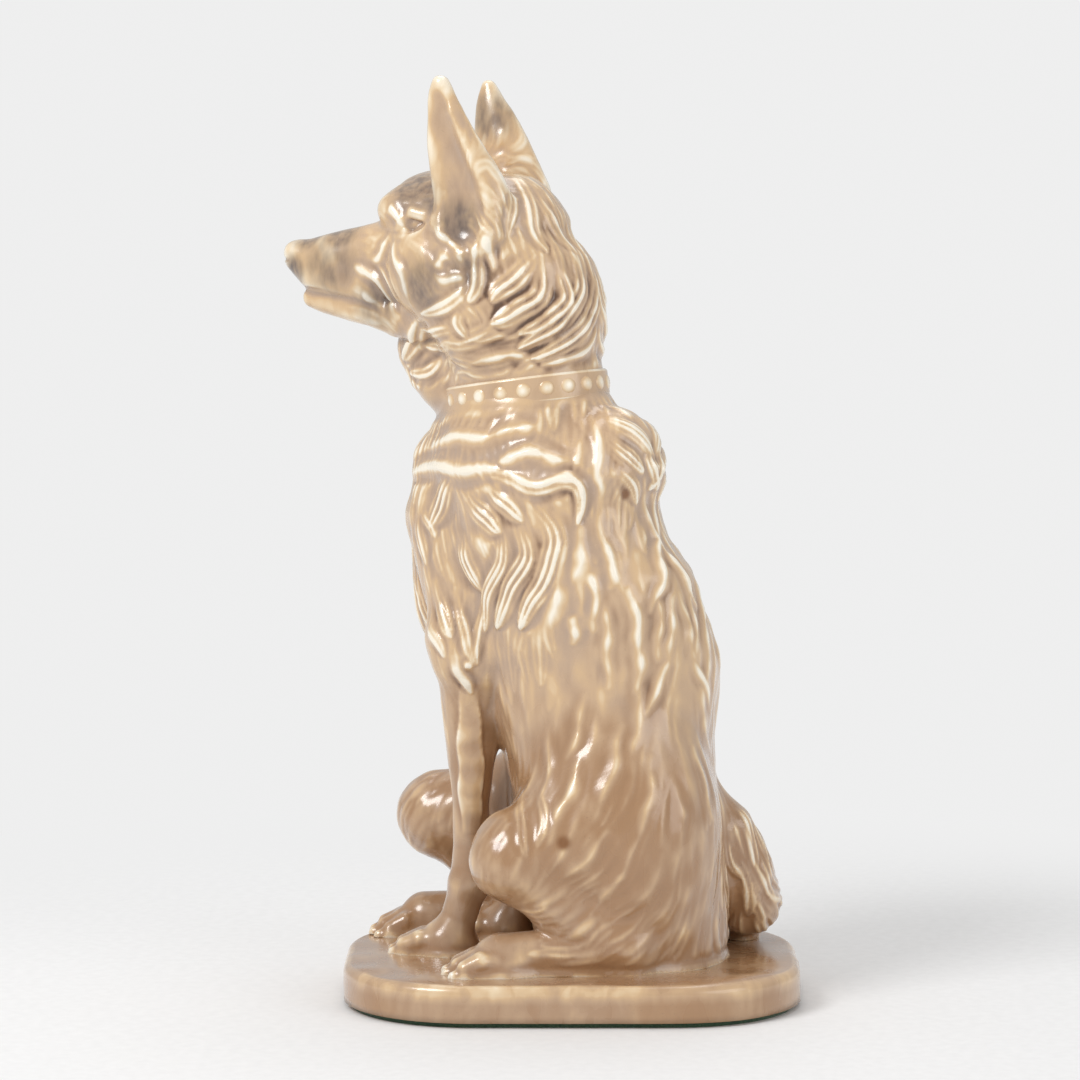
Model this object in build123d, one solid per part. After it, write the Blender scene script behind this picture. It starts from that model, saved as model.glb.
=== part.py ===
"""Seated shepherd-dog figurine: slip-cast glazed pottery on a rounded plinth.

Row frame: +Z up, origin at the centre of the underside, the pelvis and hind legs face -Y.
The dog's left side is +X. The chest is turned to the dog's right and the head is turned part of the way back.
Lengths are millimetres, angles are degrees.
"""

import os
from math import cos, pi, radians, sin

from build123d import *

# ---- driving dimensions ----
WALL = 5.0  # thickness of the cast shells

# Plinth: a rounded slab with a recess under it that leaves a rim and a top panel.
FELT = 1.5
PLINTH_TOP = 12.0
PLINTH_X, PLINTH_Y = 98.0, 126.0
PLINTH_CORNER = 36.0
PLINTH_EDGE = 2.5
PLINTH_RIM = 7.0
PLINTH_PANEL = 5.5
FELT_INSET = 2.0
VENT_R = 5.0  # kiln vent into the hollow body
VENT_CLEARANCE = 1.0

PELVIS_YAW, CHEST_YAW, COLLAR_YAW, HEAD_YAW = -5.0, 40.0, 30.0, 22.0

# Torso cross-sections: height, centre Y, half length front to back, half width, yaw.
TORSO = [
    (PLINTH_TOP, 17.0, 25.0, 30.0, PELVIS_YAW),
    (30.0, 15.0, 28.0, 32.0, PELVIS_YAW),
    (52.0, 12.5, 29.0, 32.0, 0.0),
    (75.0, 9.5, 30.5, 31.0, 10.0),
    (93.0, 5.5, 34.0, 31.0, 22.0),
    (110.0, -1.0, 38.0, 31.0, 34.0),
    (128.0, -7.0, 39.5, 30.0, CHEST_YAW),
    (146.0, -9.5, 37.0, 28.0, CHEST_YAW),
    (157.0, -11.5, 28.0, 23.5, 36.0),
]

# The neck is a straight oval stem under the collar, square to the collar's own tilted plane.
COLLAR_CENTRE = Vector(0.0, -12.5, 168.0)
COLLAR_TILT = 8.0
NECK_FRONT, NECK_SIDE = 21.5, 18.5
STEM = 9.0
COLLAR_HEIGHT, COLLAR_THICK = 8.0, 2.2
STUD_R, STUD_RISE, STUD_COUNT = 2.3, 1.0, 22
STUD_ROOT = 1.0  # how far a stud's rod starts inside the band before it is trimmed to it

HEAD = Vector(0.0, -25.0, 210.0)  # centre of the cranium
CRANIUM = (25.0, 19.5, 19.0)  # half length, half width, half height
# Mane cross-sections above the collar: centre Y, height, half length, half width, yaw.
MANE = [
    (-14.5, 187.0, 27.0, 23.5, 26.0),
    (-17.5, 200.0, 24.5, 22.5, HEAD_YAW),
    (-20.0, 213.0, 19.0, 18.0, HEAD_YAW),
]
# Muzzle cross-sections: distance ahead of HEAD, height above it, half width, half height.
MUZZLE = [
    (14.0, -7.5, 14.5, 17.0),
    (32.0, -8.0, 11.0, 14.0),
    (46.0, -9.0, 9.0, 11.5),
    (55.0, -7.5, 7.0, 9.0),
    (58.5, -5.5, 4.0, 5.0),
]

EAR_SPREAD = 15.5
# Ear cross-sections: height above HEAD, distance ahead of HEAD, half length, half thickness.
EAR = [
    (3.0, -2.0, 8.5, 5.0),
    (13.0, -1.0, 9.5, 5.0),
    (26.0, 1.0, 7.0, 3.6),
    (36.0, 3.0, 3.8, 2.4),
    (44.0, 4.4, 1.2, 1.1),
]
EAR_BOWL_SHIFT = 1.5  # how far the bowl's sections lie outside the ear's outer face
EAR_BOWL_LENGTH = 0.62  # bowl length as a share of the ear's

# Forelegs: height, shift of the centre towards -Y, radius. The top ends inside the chest.
FORELEG = [
    (37.0, 0.3, 5.4),
    (53.0, 0.0, 5.3),
    (71.0, -0.2, 7.3),
    (88.0, 0.8, 9.5),
    (104.0, 1.5, 10.5),
    (118.0, 0.5, 8.5),
    (126.0, -1.5, 5.0),
]
LEFT_FORE, RIGHT_FORE = (2.0, -28.0), (-20.0, -12.0)
PASTERN = [(PLINTH_TOP, 5.5, 6.5), (24.0, 2.5, 5.4), (37.0, 0.3, 5.4)]
PAW_YAW = CHEST_YAW / 2
FORE_PAW = (12.0, 8.2, 9.5)  # half length, half width, height
PAW_LEAD = 6.5  # how far the paw's middle stands ahead of the leg

# Hind legs: the haunch at the hip, a thigh to the knee and a shin back to the heel.
LEFT_KNEE, LEFT_HIP = (28.0, -16.0, 41.0), (20.0, 13.0, 48.0)
RIGHT_KNEE, RIGHT_HIP = (-29.0, -37.5, 45.0), (-20.0, 10.0, 48.0)
HAUNCH = (28.0, 21.0, 36.0)  # half length, half width, half height
KNEE_R = 13.5
SHIN_TOP_R, SHIN_R = 10.5, 8.5
# Hind feet: heel and toe points on the plinth, as X and Y.
LEFT_FOOT = ((29.0, 14.0), (30.0, -20.0))
RIGHT_FOOT = ((-30.0, -6.0), (-31.0, -43.0))
HEEL_R = 6.5
HEEL_SINK = 1.0  # how far the sole's round underside sinks into the plinth's top
TOE_PAD = (11.0, 8.6, 9.0)

# Tail: points along its middle line, with the radius at each.
TAIL = [
    ((-3.0, 33.0, 56.0), 7.0),
    ((-6.0, 43.5, 42.0), 8.0),
    ((-12.0, 48.5, 27.0), 8.2),
    ((-24.0, 48.5, 20.5), 7.6),
    ((-34.0, 42.0, 18.0), 5.4),
    ((-40.0, 34.0, 16.5), 2.2),
]

ROOM = 400.0  # side of the boxes that trim pieces, longer than the figurine


def facing(yaw):
    """Unit vector that a part turned by yaw from -Y towards -X faces."""
    return Vector(-sin(radians(yaw)), -cos(radians(yaw)), 0)


def leftward(yaw):
    """Unit vector to the left of facing(yaw)."""
    return Vector(cos(radians(yaw)), -sin(radians(yaw)), 0)


def level_oval(centre, front, side, yaw):
    """Level oval face, front along the way it faces and side across."""
    return Plane(origin=centre, x_dir=facing(yaw), z_dir=(0, 0, 1)) * Ellipse(front, side)


def collar_plane(rise=0.0):
    """Plane of the collar, higher at the nape than at the throat, moved rise along its own axis."""
    ahead = facing(COLLAR_YAW) * cos(radians(COLLAR_TILT)) - Vector(0, 0, sin(radians(COLLAR_TILT)))
    up = ahead.cross(leftward(COLLAR_YAW))
    return Plane(origin=COLLAR_CENTRE + up * rise, x_dir=ahead, z_dir=up)


def stem_oval(rise, grow=0.0):
    """Cross-section of the neck stem, rise along the collar's axis."""
    return collar_plane(rise) * Ellipse(NECK_FRONT + grow, NECK_SIDE + grow)


def ellipsoid(centre, radii, yaw=0.0):
    """radii are half length along the way it faces, half width and half height."""
    length, width, height = radii
    return Pos(centre) * Rot(0, 0, -yaw) * scale(Sphere(1), by=(width, length, height))


def limb(stations):
    """Round limb through (point, radius) stations, each ring square to the path, with round ends."""
    points = [Vector(*point) for point, _ in stations]
    rings = []
    for i, (_, radius) in enumerate(stations):
        before, after = points[max(i - 1, 0)], points[min(i + 1, len(points) - 1)]
        rings.append(Plane(origin=points[i], z_dir=after - before) * Circle(radius))
    return loft(rings) + Pos(points[-1]) * Sphere(stations[-1][1])


def column(spot, stations):
    """Upright limb over the (x, y) spot, through (height, lead towards -Y, radius) stations."""
    return loft([Pos(spot[0], spot[1] - lead, z) * Circle(radius) for z, lead, radius in stations])


def above_plinth(part):
    """What of a part stands above the plinth's top face."""
    return part & Pos(0, 0, PLINTH_TOP + ROOM / 2) * Box(ROOM, ROOM, ROOM)


# ---- plinth and felt ----
def plinth_outline(inset=0.0):
    return RectangleRounded(PLINTH_X - 2 * inset, PLINTH_Y - 2 * inset, PLINTH_CORNER - inset)


def vent(radius):
    return Pos(0, TORSO[0][1], PLINTH_TOP / 2) * Cylinder(radius, 2 * PLINTH_TOP)


def plinth():
    block = Pos(0, 0, FELT) * extrude(plinth_outline(), PLINTH_TOP - FELT)
    block = fillet(block.faces().sort_by(Axis.Z)[-1].edges(), PLINTH_EDGE)
    recess = extrude(plinth_outline(PLINTH_RIM), PLINTH_TOP - PLINTH_PANEL - FELT)
    return block - Pos(0, 0, FELT) * recess - vent(VENT_R)


def felt_pad():
    return extrude(plinth_outline(FELT_INSET), FELT) - vent(VENT_R + VENT_CLEARANCE)


# ---- torso and head shells, which meet under the collar ----
def torso_solid(wall=0.0):
    rings = [level_oval((0, y, z), length - wall, width - wall, yaw) for z, y, length, width, yaw in TORSO]
    foot_of_stem = stem_oval(-STEM / 2, -wall)
    return loft(rings + [foot_of_stem]) + loft([foot_of_stem, stem_oval(0.0, -wall)])


def torso_shell():
    return torso_solid() - torso_solid(WALL)


def neck_solid(wall=0.0):
    top_of_stem = stem_oval(STEM / 2, -wall)
    rings = [level_oval((0, y, z), length - wall, width - wall, yaw) for y, z, length, width, yaw in MANE]
    return loft([stem_oval(0.0, -wall), top_of_stem]) + loft([top_of_stem] + rings)


def muzzle():
    ahead, across = facing(HEAD_YAW), leftward(HEAD_YAW)
    rings = []
    for reach, rise, half_width, half_height in MUZZLE:
        centre = HEAD + ahead * reach + Vector(0, 0, rise)
        rings.append(Plane(origin=centre, x_dir=across, z_dir=ahead) * Ellipse(half_width, half_height))
    return loft(rings)


def head_solid():
    return neck_solid() + ellipsoid(HEAD, CRANIUM, HEAD_YAW) + muzzle()


def head_hollow():
    return neck_solid(WALL) + ellipsoid(HEAD, [radius - WALL for radius in CRANIUM], HEAD_YAW)


def ear(side, head):
    """side is 1 for the left ear and -1 for the right. The bowl opens outwards."""
    ahead, across = facing(HEAD_YAW), leftward(HEAD_YAW) * side
    blades, bowls = [], []
    for rise, reach, half_length, half_thick in EAR:
        centre = HEAD + across * EAR_SPREAD + ahead * reach + Vector(0, 0, rise)
        outside = centre + across * (half_thick + EAR_BOWL_SHIFT)
        blades.append(level_oval(centre, half_length, half_thick, HEAD_YAW))
        bowls.append(level_oval(outside, half_length * EAR_BOWL_LENGTH, half_thick, HEAD_YAW))
    return loft(blades) - loft(bowls[:-1]) - head


# ---- collar ----
def collar_band():
    outer = Ellipse(NECK_FRONT + COLLAR_THICK, NECK_SIDE + COLLAR_THICK)
    return collar_plane(-COLLAR_HEIGHT / 2) * extrude(outer - Ellipse(NECK_FRONT, NECK_SIDE), COLLAR_HEIGHT)


def collar_studs():
    """Round studs standing out of the band, all in one node."""
    front, side = NECK_FRONT + COLLAR_THICK, NECK_SIDE + COLLAR_THICK
    core = collar_plane(-COLLAR_HEIGHT) * extrude(Ellipse(front, side), 2 * COLLAR_HEIGHT)
    studs = []
    for i in range(STUD_COUNT):
        turn = 2 * pi * i / STUD_COUNT
        spot = Vector(front * cos(turn), side * sin(turn), 0)
        out = Vector(cos(turn) / front, sin(turn) / side, 0).normalized()
        rod = Plane(origin=spot - out * STUD_ROOT, z_dir=out) * extrude(Circle(STUD_R), STUD_ROOT + STUD_RISE)
        studs += (collar_plane() * rod - core).solids()
    return Compound(children=studs)


# ---- legs and tail ----
def foreleg(spot):
    return column(spot, FORELEG)


def fore_paw(spot):
    lead = facing(PAW_YAW) * PAW_LEAD
    toes = ellipsoid((spot[0] + lead.X, spot[1] + lead.Y, PLINTH_TOP), FORE_PAW, PAW_YAW)
    return above_plinth(column(spot, PASTERN) + toes)


def hind_leg(knee, hip, foot):
    """Haunch, thigh, knee and shin down to the heel."""
    heel = (*foot[0], PLINTH_TOP + HEEL_R)
    thigh = limb([(hip, HAUNCH[1]), (knee, KNEE_R)])
    shin = limb([(knee, SHIN_TOP_R), (heel, SHIN_R)])
    return above_plinth(ellipsoid(hip, HAUNCH, PELVIS_YAW) + thigh + shin)


def hind_paw(foot):
    """Foot from heel to toes, resting on the plinth."""
    heel, toe = foot
    level = PLINTH_TOP + HEEL_R - HEEL_SINK
    sole = limb([((*heel, level), HEEL_R), ((*toe, level), HEEL_R)])
    return above_plinth(sole + ellipsoid((*toe, PLINTH_TOP), TOE_PAD))


def write(part, name):
    export_step(part, f"parts/{name}.step")


def main():
    os.makedirs("parts", exist_ok=True)
    torso, head = torso_solid(), head_solid()
    left_leg = hind_leg(LEFT_KNEE, LEFT_HIP, LEFT_FOOT)
    right_leg = hind_leg(RIGHT_KNEE, RIGHT_HIP, RIGHT_FOOT)

    write(plinth(), "plinth")
    write(felt_pad(), "felt_pad")
    write(torso_shell(), "torso_shell")
    write(head - head_hollow(), "head_shell")
    write(ear(1, head), "left_ear")
    write(ear(-1, head), "right_ear")
    write(collar_band(), "collar_band")
    write(collar_studs(), "collar_studs")
    write(above_plinth(limb(TAIL)) - torso - right_leg - left_leg, "tail")

    # Where two pieces meet, the one lower in this list is trimmed to the one above it.
    sides = [("left", left_leg, LEFT_FOOT, LEFT_FORE), ("right", right_leg, RIGHT_FOOT, RIGHT_FORE)]
    for side, leg, foot, fore in sides:
        hind_foot, front = hind_paw(foot), foreleg(fore)
        write(leg - torso, f"{side}_hind_leg")
        write(hind_foot - torso - leg, f"{side}_hind_paw")
        write(front - torso - leg, f"{side}_foreleg")
        write(fore_paw(fore) - front - hind_foot - leg - torso, f"{side}_fore_paw")


main()
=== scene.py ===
import itertools
import math

import bpy
import numpy as np
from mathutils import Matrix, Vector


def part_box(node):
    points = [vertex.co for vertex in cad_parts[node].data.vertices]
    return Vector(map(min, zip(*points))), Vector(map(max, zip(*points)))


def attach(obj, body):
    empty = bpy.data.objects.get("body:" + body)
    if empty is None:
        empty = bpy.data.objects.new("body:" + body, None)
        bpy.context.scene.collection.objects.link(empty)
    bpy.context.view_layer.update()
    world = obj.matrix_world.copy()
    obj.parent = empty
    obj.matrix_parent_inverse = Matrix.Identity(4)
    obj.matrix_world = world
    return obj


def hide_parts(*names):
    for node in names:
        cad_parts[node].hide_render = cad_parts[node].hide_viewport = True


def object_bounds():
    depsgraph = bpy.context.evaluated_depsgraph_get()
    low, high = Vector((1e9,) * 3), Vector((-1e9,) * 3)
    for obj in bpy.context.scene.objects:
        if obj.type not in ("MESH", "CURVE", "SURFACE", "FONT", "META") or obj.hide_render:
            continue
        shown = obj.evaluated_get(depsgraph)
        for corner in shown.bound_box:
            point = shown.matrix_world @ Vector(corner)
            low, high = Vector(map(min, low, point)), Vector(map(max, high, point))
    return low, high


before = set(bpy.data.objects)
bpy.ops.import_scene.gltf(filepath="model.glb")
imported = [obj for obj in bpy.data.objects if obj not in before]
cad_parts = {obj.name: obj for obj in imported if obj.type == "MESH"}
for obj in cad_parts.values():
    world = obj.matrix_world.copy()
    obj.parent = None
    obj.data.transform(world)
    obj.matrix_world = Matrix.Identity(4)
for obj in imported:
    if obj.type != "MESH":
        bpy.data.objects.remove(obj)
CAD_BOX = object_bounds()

import openvdb
from mathutils import Vector

MM = 0.001
VOXEL = 0.5  # step of the clay grid
SEED = 7
SIDES = {"left": 1, "right": -1}
UP = np.array([0.0, 0.0, 1.0])
STANDING = np.array([UP, [0.0, -1.0, 0.0], [1.0, 0.0, 0.0]])  # axes of a body lofted upwards


def corners(node):
    """Lowest and highest corner of a CAD node, in millimetres."""
    low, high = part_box(node)
    return np.array(low) / MM, np.array(high) / MM


def middle(node):
    low, high = corners(node)
    return (low + high) / 2


GROUND = corners("plinth")[1][2]  # the plinth's top face, which the dog sits on
SOLE_DEPTH = 1.0  # how far the dog is sunk into the plinth, so that no slit shows under it
SOLE_CUT = 0.25  # height above the plinth's face at which the clay is cut flat
GLAZE_FILLET = 3.0  # how softly the clay runs out onto the plinth
COLLAR = middle("collar_band")
HEAD = COLLAR + np.array([0.0, -12.5, 42.0])  # centre of the cranium
CHEST = np.array([0.0, -7.0, 0.0])  # the chest's axis
HAUNCH = np.array([0.0, 13.0, 0.0])  # the haunches' axis
PELVIS_YAW, CHEST_YAW, COLLAR_YAW, HEAD_YAW = -5.0, 40.0, 30.0, 22.0
COLLAR_TILT = 8.0
BAND_HALF = np.array([23.4, 20.4])  # half length and half width of the collar band's outer face


def facing(yaw):
    """Forward, leftward and upward unit vectors of a part turned by yaw from -Y towards -X."""
    turn = math.radians(yaw)
    return np.array([[-math.sin(turn), -math.cos(turn), 0.0], [math.cos(turn), -math.sin(turn), 0.0], UP])


def on_head(ahead, left, above):
    return HEAD + np.array([ahead, left, above]) @ facing(HEAD_YAW)


def collar_axes():
    """Forward, leftward and upward unit vectors of the tilted collar."""
    ahead, left, _ = facing(COLLAR_YAW)
    tilt = math.radians(COLLAR_TILT)
    ahead = ahead * math.cos(tilt) - UP * math.sin(tilt)
    return np.array([ahead, left, np.cross(ahead, left)])


# ---- clay: shapes as distance functions, and the grid they are blended on ----
class Shape:
    """A lump or a hollow that belongs to a node. low and high bound it, blend is how softly it joins."""

    def __init__(self, node, distance, low, high, blend=4.0, carve=False):
        self.node, self.distance, self.blend, self.carve = node, distance, blend, carve
        self.low, self.high = np.asarray(low, float), np.asarray(high, float)


def local(x, y, z, origin, axes):
    x, y, z = x - origin[0], y - origin[1], z - origin[2]
    return [x * a[0] + y * a[1] + z * a[2] for a in axes]


def blob(node, centre, radii, axes=facing(0.0), blend=4.0, carve=False):
    """Ellipsoid with its radii along axes."""
    centre, radii = np.asarray(centre, float), np.asarray(radii, float)

    def distance(x, y, z):
        parts = local(x, y, z, centre, axes)
        near = np.sqrt(sum((p / r) ** 2 for p, r in zip(parts, radii)))
        far = np.sqrt(sum((p / r**2) ** 2 for p, r in zip(parts, radii)))
        return near * (near - 1) / np.maximum(far, 1e-4)

    half = np.sqrt(((axes * radii[:, None]) ** 2).sum(0))
    return Shape(node, distance, centre - half, centre + half, blend, carve)


def bone(node, stations, blend=4.0, carve=False):
    """Round limb through (point, radius) stations."""
    points = np.array([p for p, _ in stations], float)
    radii = np.array([r for _, r in stations], float)

    def distance(x, y, z):
        best = None
        for a, b, ra, rb in zip(points[:-1], points[1:], radii[:-1], radii[1:]):
            d = b - a
            t = ((x - a[0]) * d[0] + (y - a[1]) * d[1] + (z - a[2]) * d[2]) / (d @ d)
            t = np.clip(t, 0, 1)
            off_x, off_y, off_z = x - a[0] - t * d[0], y - a[1] - t * d[1], z - a[2] - t * d[2]
            gap = np.sqrt(off_x**2 + off_y**2 + off_z**2)
            gap = gap - (ra + t * (rb - ra))
            best = gap if best is None else np.minimum(best, gap)
        return best

    widest = radii.max()
    return Shape(node, distance, points.min(0) - widest, points.max(0) + widest, blend, carve)


def fine_table(stations, samples=160):
    """Stations resampled along a smooth curve through them."""
    rows = np.array(stations, float)
    s = rows[:, 0]
    slopes = np.gradient(rows, s, axis=0)
    fine = np.linspace(s[0], s[-1], samples)
    i = np.clip(np.searchsorted(s, fine, side="right") - 1, 0, len(s) - 2)
    step = (s[i + 1] - s[i])[:, None]
    t = (fine - s[i])[:, None] / step
    start = (2 * t**3 - 3 * t**2 + 1) * rows[i] + (t**3 - 2 * t**2 + t) * step * slopes[i]
    return start + (3 * t**2 - 2 * t**3) * rows[i + 1] + (t**3 - t**2) * step * slopes[i + 1]


def sleeve(node, origin, axes, stations, blend=4.0, square=2.0, carve=False, ends=2.0):
    """Body lofted along axes[0]. A station is its place along it, its centre and its half sizes on the other
    two axes, and its turn, which may be left out."""
    table = fine_table([tuple(s) + (0.0,) * (6 - len(s)) for s in stations])
    low, high = table[0, 0], table[-1, 0]

    def distance(x, y, z):
        s, a, b = local(x, y, z, origin, axes)
        c1, c2, r1, r2, turn = (np.interp(s, table[:, 0], table[:, k]) for k in range(1, 6))
        a, b = a - c1, b - c2
        cos, sin = np.cos(np.radians(turn)), np.sin(np.radians(turn))
        a, b = a * cos - b * sin, a * sin + b * cos
        rho = ((np.abs(a) / r1) ** square + (np.abs(b) / r2) ** square) ** (1 / square)
        reach = np.sqrt(a * a + b * b)
        side = reach - reach / np.maximum(rho, 1e-3)
        return soft_max(side, np.maximum(low - s, s - high), ends)

    widest = table[:, 3:5].max()
    spots = origin + table[:, :3] @ axes
    return Shape(node, distance, spots.min(0) - widest, spots.max(0) + widest, blend, carve)


def soft_min(a, b, k):
    overlap = np.maximum(k - np.abs(a - b), 0) / k
    return np.minimum(a, b) - overlap * overlap * k / 4


def soft_max(a, b, k):
    return -soft_min(-a, -b, k)


class Clay:
    """Signed distance in millimetres on a grid."""

    EMPTY = 20.0  # value of the field far from every shape
    MARGIN = 3.0  # how far beyond its own blend a shape is worked into the grid

    def __init__(self, low, high, step):
        self.low, self.step = np.asarray(low, float), step
        counts = np.ceil((np.asarray(high) - self.low) / step).astype(int) + 1
        self.field = np.full(counts, self.EMPTY, np.float32)

    def work(self, shape):
        """Adds a shape, or carves it out."""
        room = shape.blend + self.MARGIN
        a = np.maximum(((shape.low - room - self.low) / self.step).astype(int), 0)
        b = np.minimum(((shape.high + room - self.low) / self.step).astype(int) + 1, self.field.shape)
        if (b <= a).any():
            return
        x, y, z = (self.places(i, a[i], b[i]).reshape(np.roll([-1, 1, 1], i)) for i in range(3))
        view = self.field[a[0] : b[0], a[1] : b[1], a[2] : b[2]]
        gap = shape.distance(x, y, z).astype(np.float32)
        if shape.carve:
            view[...] = soft_max(view, -gap, shape.blend)
        else:
            view[...] = soft_min(view, gap, shape.blend)

    def places(self, axis, start, stop):
        """Where the grid's planes from start to stop lie along an axis."""
        return (self.low[axis] + np.arange(start, stop) * self.step).astype(np.float32)

    def at(self, points):
        """Value of the field at points, in between the grid's own."""
        p = (points - self.low) / self.step
        p = np.clip(p, 0, np.array(self.field.shape) - 1.001)
        i = p.astype(int)
        f = p - i
        total = 0.0
        for corner in range(8):
            o = np.array([corner & 1, corner >> 1 & 1, corner >> 2 & 1])
            weight = np.prod(np.where(o, f, 1 - f), axis=1)
            j = i + o
            total = total + weight * self.field[j[:, 0], j[:, 1], j[:, 2]]
        return total

    def slope(self, points):
        """Outward unit normal of the field at points."""
        h = self.step
        g = np.stack([self.at(points + h * e) - self.at(points - h * e) for e in np.eye(3)], 1)
        return g / np.maximum(np.linalg.norm(g, axis=1, keepdims=True), 1e-9)

    def mesh(self):
        """Points and quads of the surface."""
        edge = 3 * self.step
        grid = openvdb.FloatGrid(edge)
        grid.copyFromArray(np.clip(self.field, -edge, edge))
        points, quads = grid.convertToQuads(isovalue=0.0)
        points = points.astype(float) * self.step + self.low
        return points, quads.astype(np.int64)


# ---- the dog's shapes ----
def both(make):
    """The shapes for the dog's left side and right side."""
    return make("left") + make("right")


def torso():
    # Height, minus the centre's Y, the centre's X, half length, half width, yaw.
    sections = [
        (6.0, -17.0, 0.0, 26.0, 31.0, PELVIS_YAW),
        (30.0, -15.0, 0.0, 27.5, 32.0, PELVIS_YAW),
        (52.0, -12.5, 0.0, 28.5, 31.0, 0.0),
        (75.0, -9.8, 0.0, 30.2, 30.0, 10.0),
        (93.0, -6.6, 0.0, 35.0, 30.0, 22.0),
        (110.0, 0.0, 0.0, 38.0, 30.0, 34.0),
        (119.0, 2.4, 0.0, 38.4, 29.2, 38.0),
        (128.0, 7.0, 0.0, 36.6, 28.0, CHEST_YAW),
        (138.0, 8.6, 0.0, 35.0, 27.0, CHEST_YAW),
        (148.0, 9.5, 0.0, 35.0, 26.5, CHEST_YAW),
        (157.0, 11.5, 0.0, 28.0, 22.5, 36.0),
        (165.0, 12.5, 0.0, 21.5, 19.0, 32.0),
    ]
    chest = facing(CHEST_YAW)
    breast, ruff, withers = (31.5, 1, 116), (28.5, 4, 147.5), (-23, 0, 152)
    return [
        sleeve("torso_shell", np.zeros(3), STANDING, sections, blend=6.0),
        blob("torso_shell", CHEST + breast @ chest, (10.5, 13, 23), chest, blend=12.0),
        blob("torso_shell", CHEST + ruff @ chest, (9, 14, 7.5), chest, blend=8.0),
        blob("torso_shell", CHEST + withers @ chest, (12, 14, 12), chest, blend=9.0),
    ]


def shoulders(word):
    side = SIDES[word]
    chest = facing(CHEST_YAW)
    joint = CHEST + (22, 13.5 * side, 133) @ chest
    elbow = CHEST + (11, 18.5 * side, 97) @ chest
    blade = CHEST + (-2, 17 * side, 146) @ chest
    return [
        bone("torso_shell", [(joint, 12.8), (elbow, 9.8)], blend=5.0),
        blob("torso_shell", blade, (15, 8, 17), chest, blend=8.0),
    ]


FORE = {"left": np.array([2.0, -28.0]), "right": np.array([-20.0, -12.0])}  # where the forelegs stand


def foreleg(word):
    side, spot = SIDES[word], FORE[word]

    def standing_at(stations):
        return [((spot[0] + out * side, spot[1] - lead, z), r) for z, lead, out, r in stations]

    # Height, lead towards -Y, distance outwards, radius.
    leg = standing_at([
        (100, 3, 4, 8.8), (90, 1, 2.5, 8.6), (72, 0, 0.5, 7.0),
        (54, 0, 0, 5.2), (42, 0, 0, 5.1), (33, 0.6, 0, 6.0),
    ])
    pastern = standing_at([(30, 1.2, 0, 5.6), (22, 3.5, 0, 5.2), (16, 6.0, 0, 6.2)])
    axes = facing(CHEST_YAW / 2)
    paw = np.array([spot[0], spot[1], GROUND]) + axes[0] * 7.5
    elbow = CHEST + (6, 19.5 * side, 93) @ facing(CHEST_YAW)
    return [
        bone(f"{word}_foreleg", leg, blend=5.0),
        blob("torso_shell", elbow, (4.2, 3.6, 5.0), blend=2.0),
        bone(f"{word}_fore_paw", pastern, blend=3.0),
        blob(f"{word}_fore_paw", paw, (9.5, 8.4, 9.0), axes, blend=3.0),
    ] + toes(f"{word}_fore_paw", paw, axes, 7.5, 3.9)


def toes(node, paw, axes, lead, spread):
    """Four toes, each with a claw, fanned across the front of a paw."""
    shapes = []
    for slot in (-1.5, -0.5, 0.5, 1.5):
        knuckle = paw + axes[0] * (lead - 0.9 * slot**2) + axes[1] * slot * spread + UP * 3.4
        splay = axes[0] + axes[1] * slot * 0.12
        tip = knuckle + splay * 4.2 - UP * 1.4
        shapes.append(bone(node, [(knuckle - splay * 3, 2.6), (knuckle, 3.1), (tip, 2.4)], blend=1.3))
        shapes.append(bone(node, [(tip, 1.2), (tip + splay * 3.4 - UP * 1.4, 0.6)], blend=0.6))
    return shapes


HIP = {"left": np.array([19.0, 13.0, 48.0]), "right": np.array([-20.0, 10.0, 48.0])}
KNEE = {"left": np.array([27.5, -15.5, 43.0]), "right": np.array([-28.0, -37.0, 46.0])}
HEEL = {"left": np.array([29.0, 15.0, 18.5]), "right": np.array([-30.0, -5.0, 18.5])}
TOE = {"left": np.array([30.0, -20.0, GROUND]), "right": np.array([-31.0, -42.0, GROUND])}


def hind_leg(word):
    hip, knee, heel, toe = HIP[word], KNEE[word], HEEL[word], TOE[word]
    axes = facing(PELVIS_YAW)
    run = (toe - heel) * (1, 1, 0)
    run = run / np.linalg.norm(run)
    paw_axes = np.array([run, [-run[1], run[0], 0], UP])
    return [
        blob(f"{word}_hind_leg", hip, (27, 20, 35), axes, blend=7.0),
        bone(f"{word}_hind_leg", [(hip + UP * 2, 19.0), (knee, 12.6)], blend=6.0),
        blob(f"{word}_hind_leg", knee + UP * 1.5, (8.5, 9.5, 10.5), axes, blend=3.0),
        bone(f"{word}_hind_leg", [(knee, 10.0), ((knee + heel) / 2 - UP * 3, 8.8), (heel, 7.6)], blend=3.0),
        bone(f"{word}_hind_paw", [(heel - UP * 1.5, 6.2), (toe + UP * 5.0, 6.0)], blend=2.5),
        blob(f"{word}_hind_paw", toe, (10.5, 8.4, 8.4), paw_axes, blend=2.5),
    ] + toes(f"{word}_hind_paw", toe, paw_axes, 7.0, 3.9)


def tail():
    path = [
        ((-3, 31, 58), 6.5), ((-5, 42.4, 45.5), 8.0), ((-8, 47.5, 33), 9.0), ((-15, 49.5, 23.5), 9.0),
        ((-25, 48.0, 20.0), 8.4), ((-34, 42.0, 18.0), 6.4), ((-41, 33.0, 16.0), 3.0),
    ]
    return [bone("tail", path, blend=4.0)]


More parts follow.
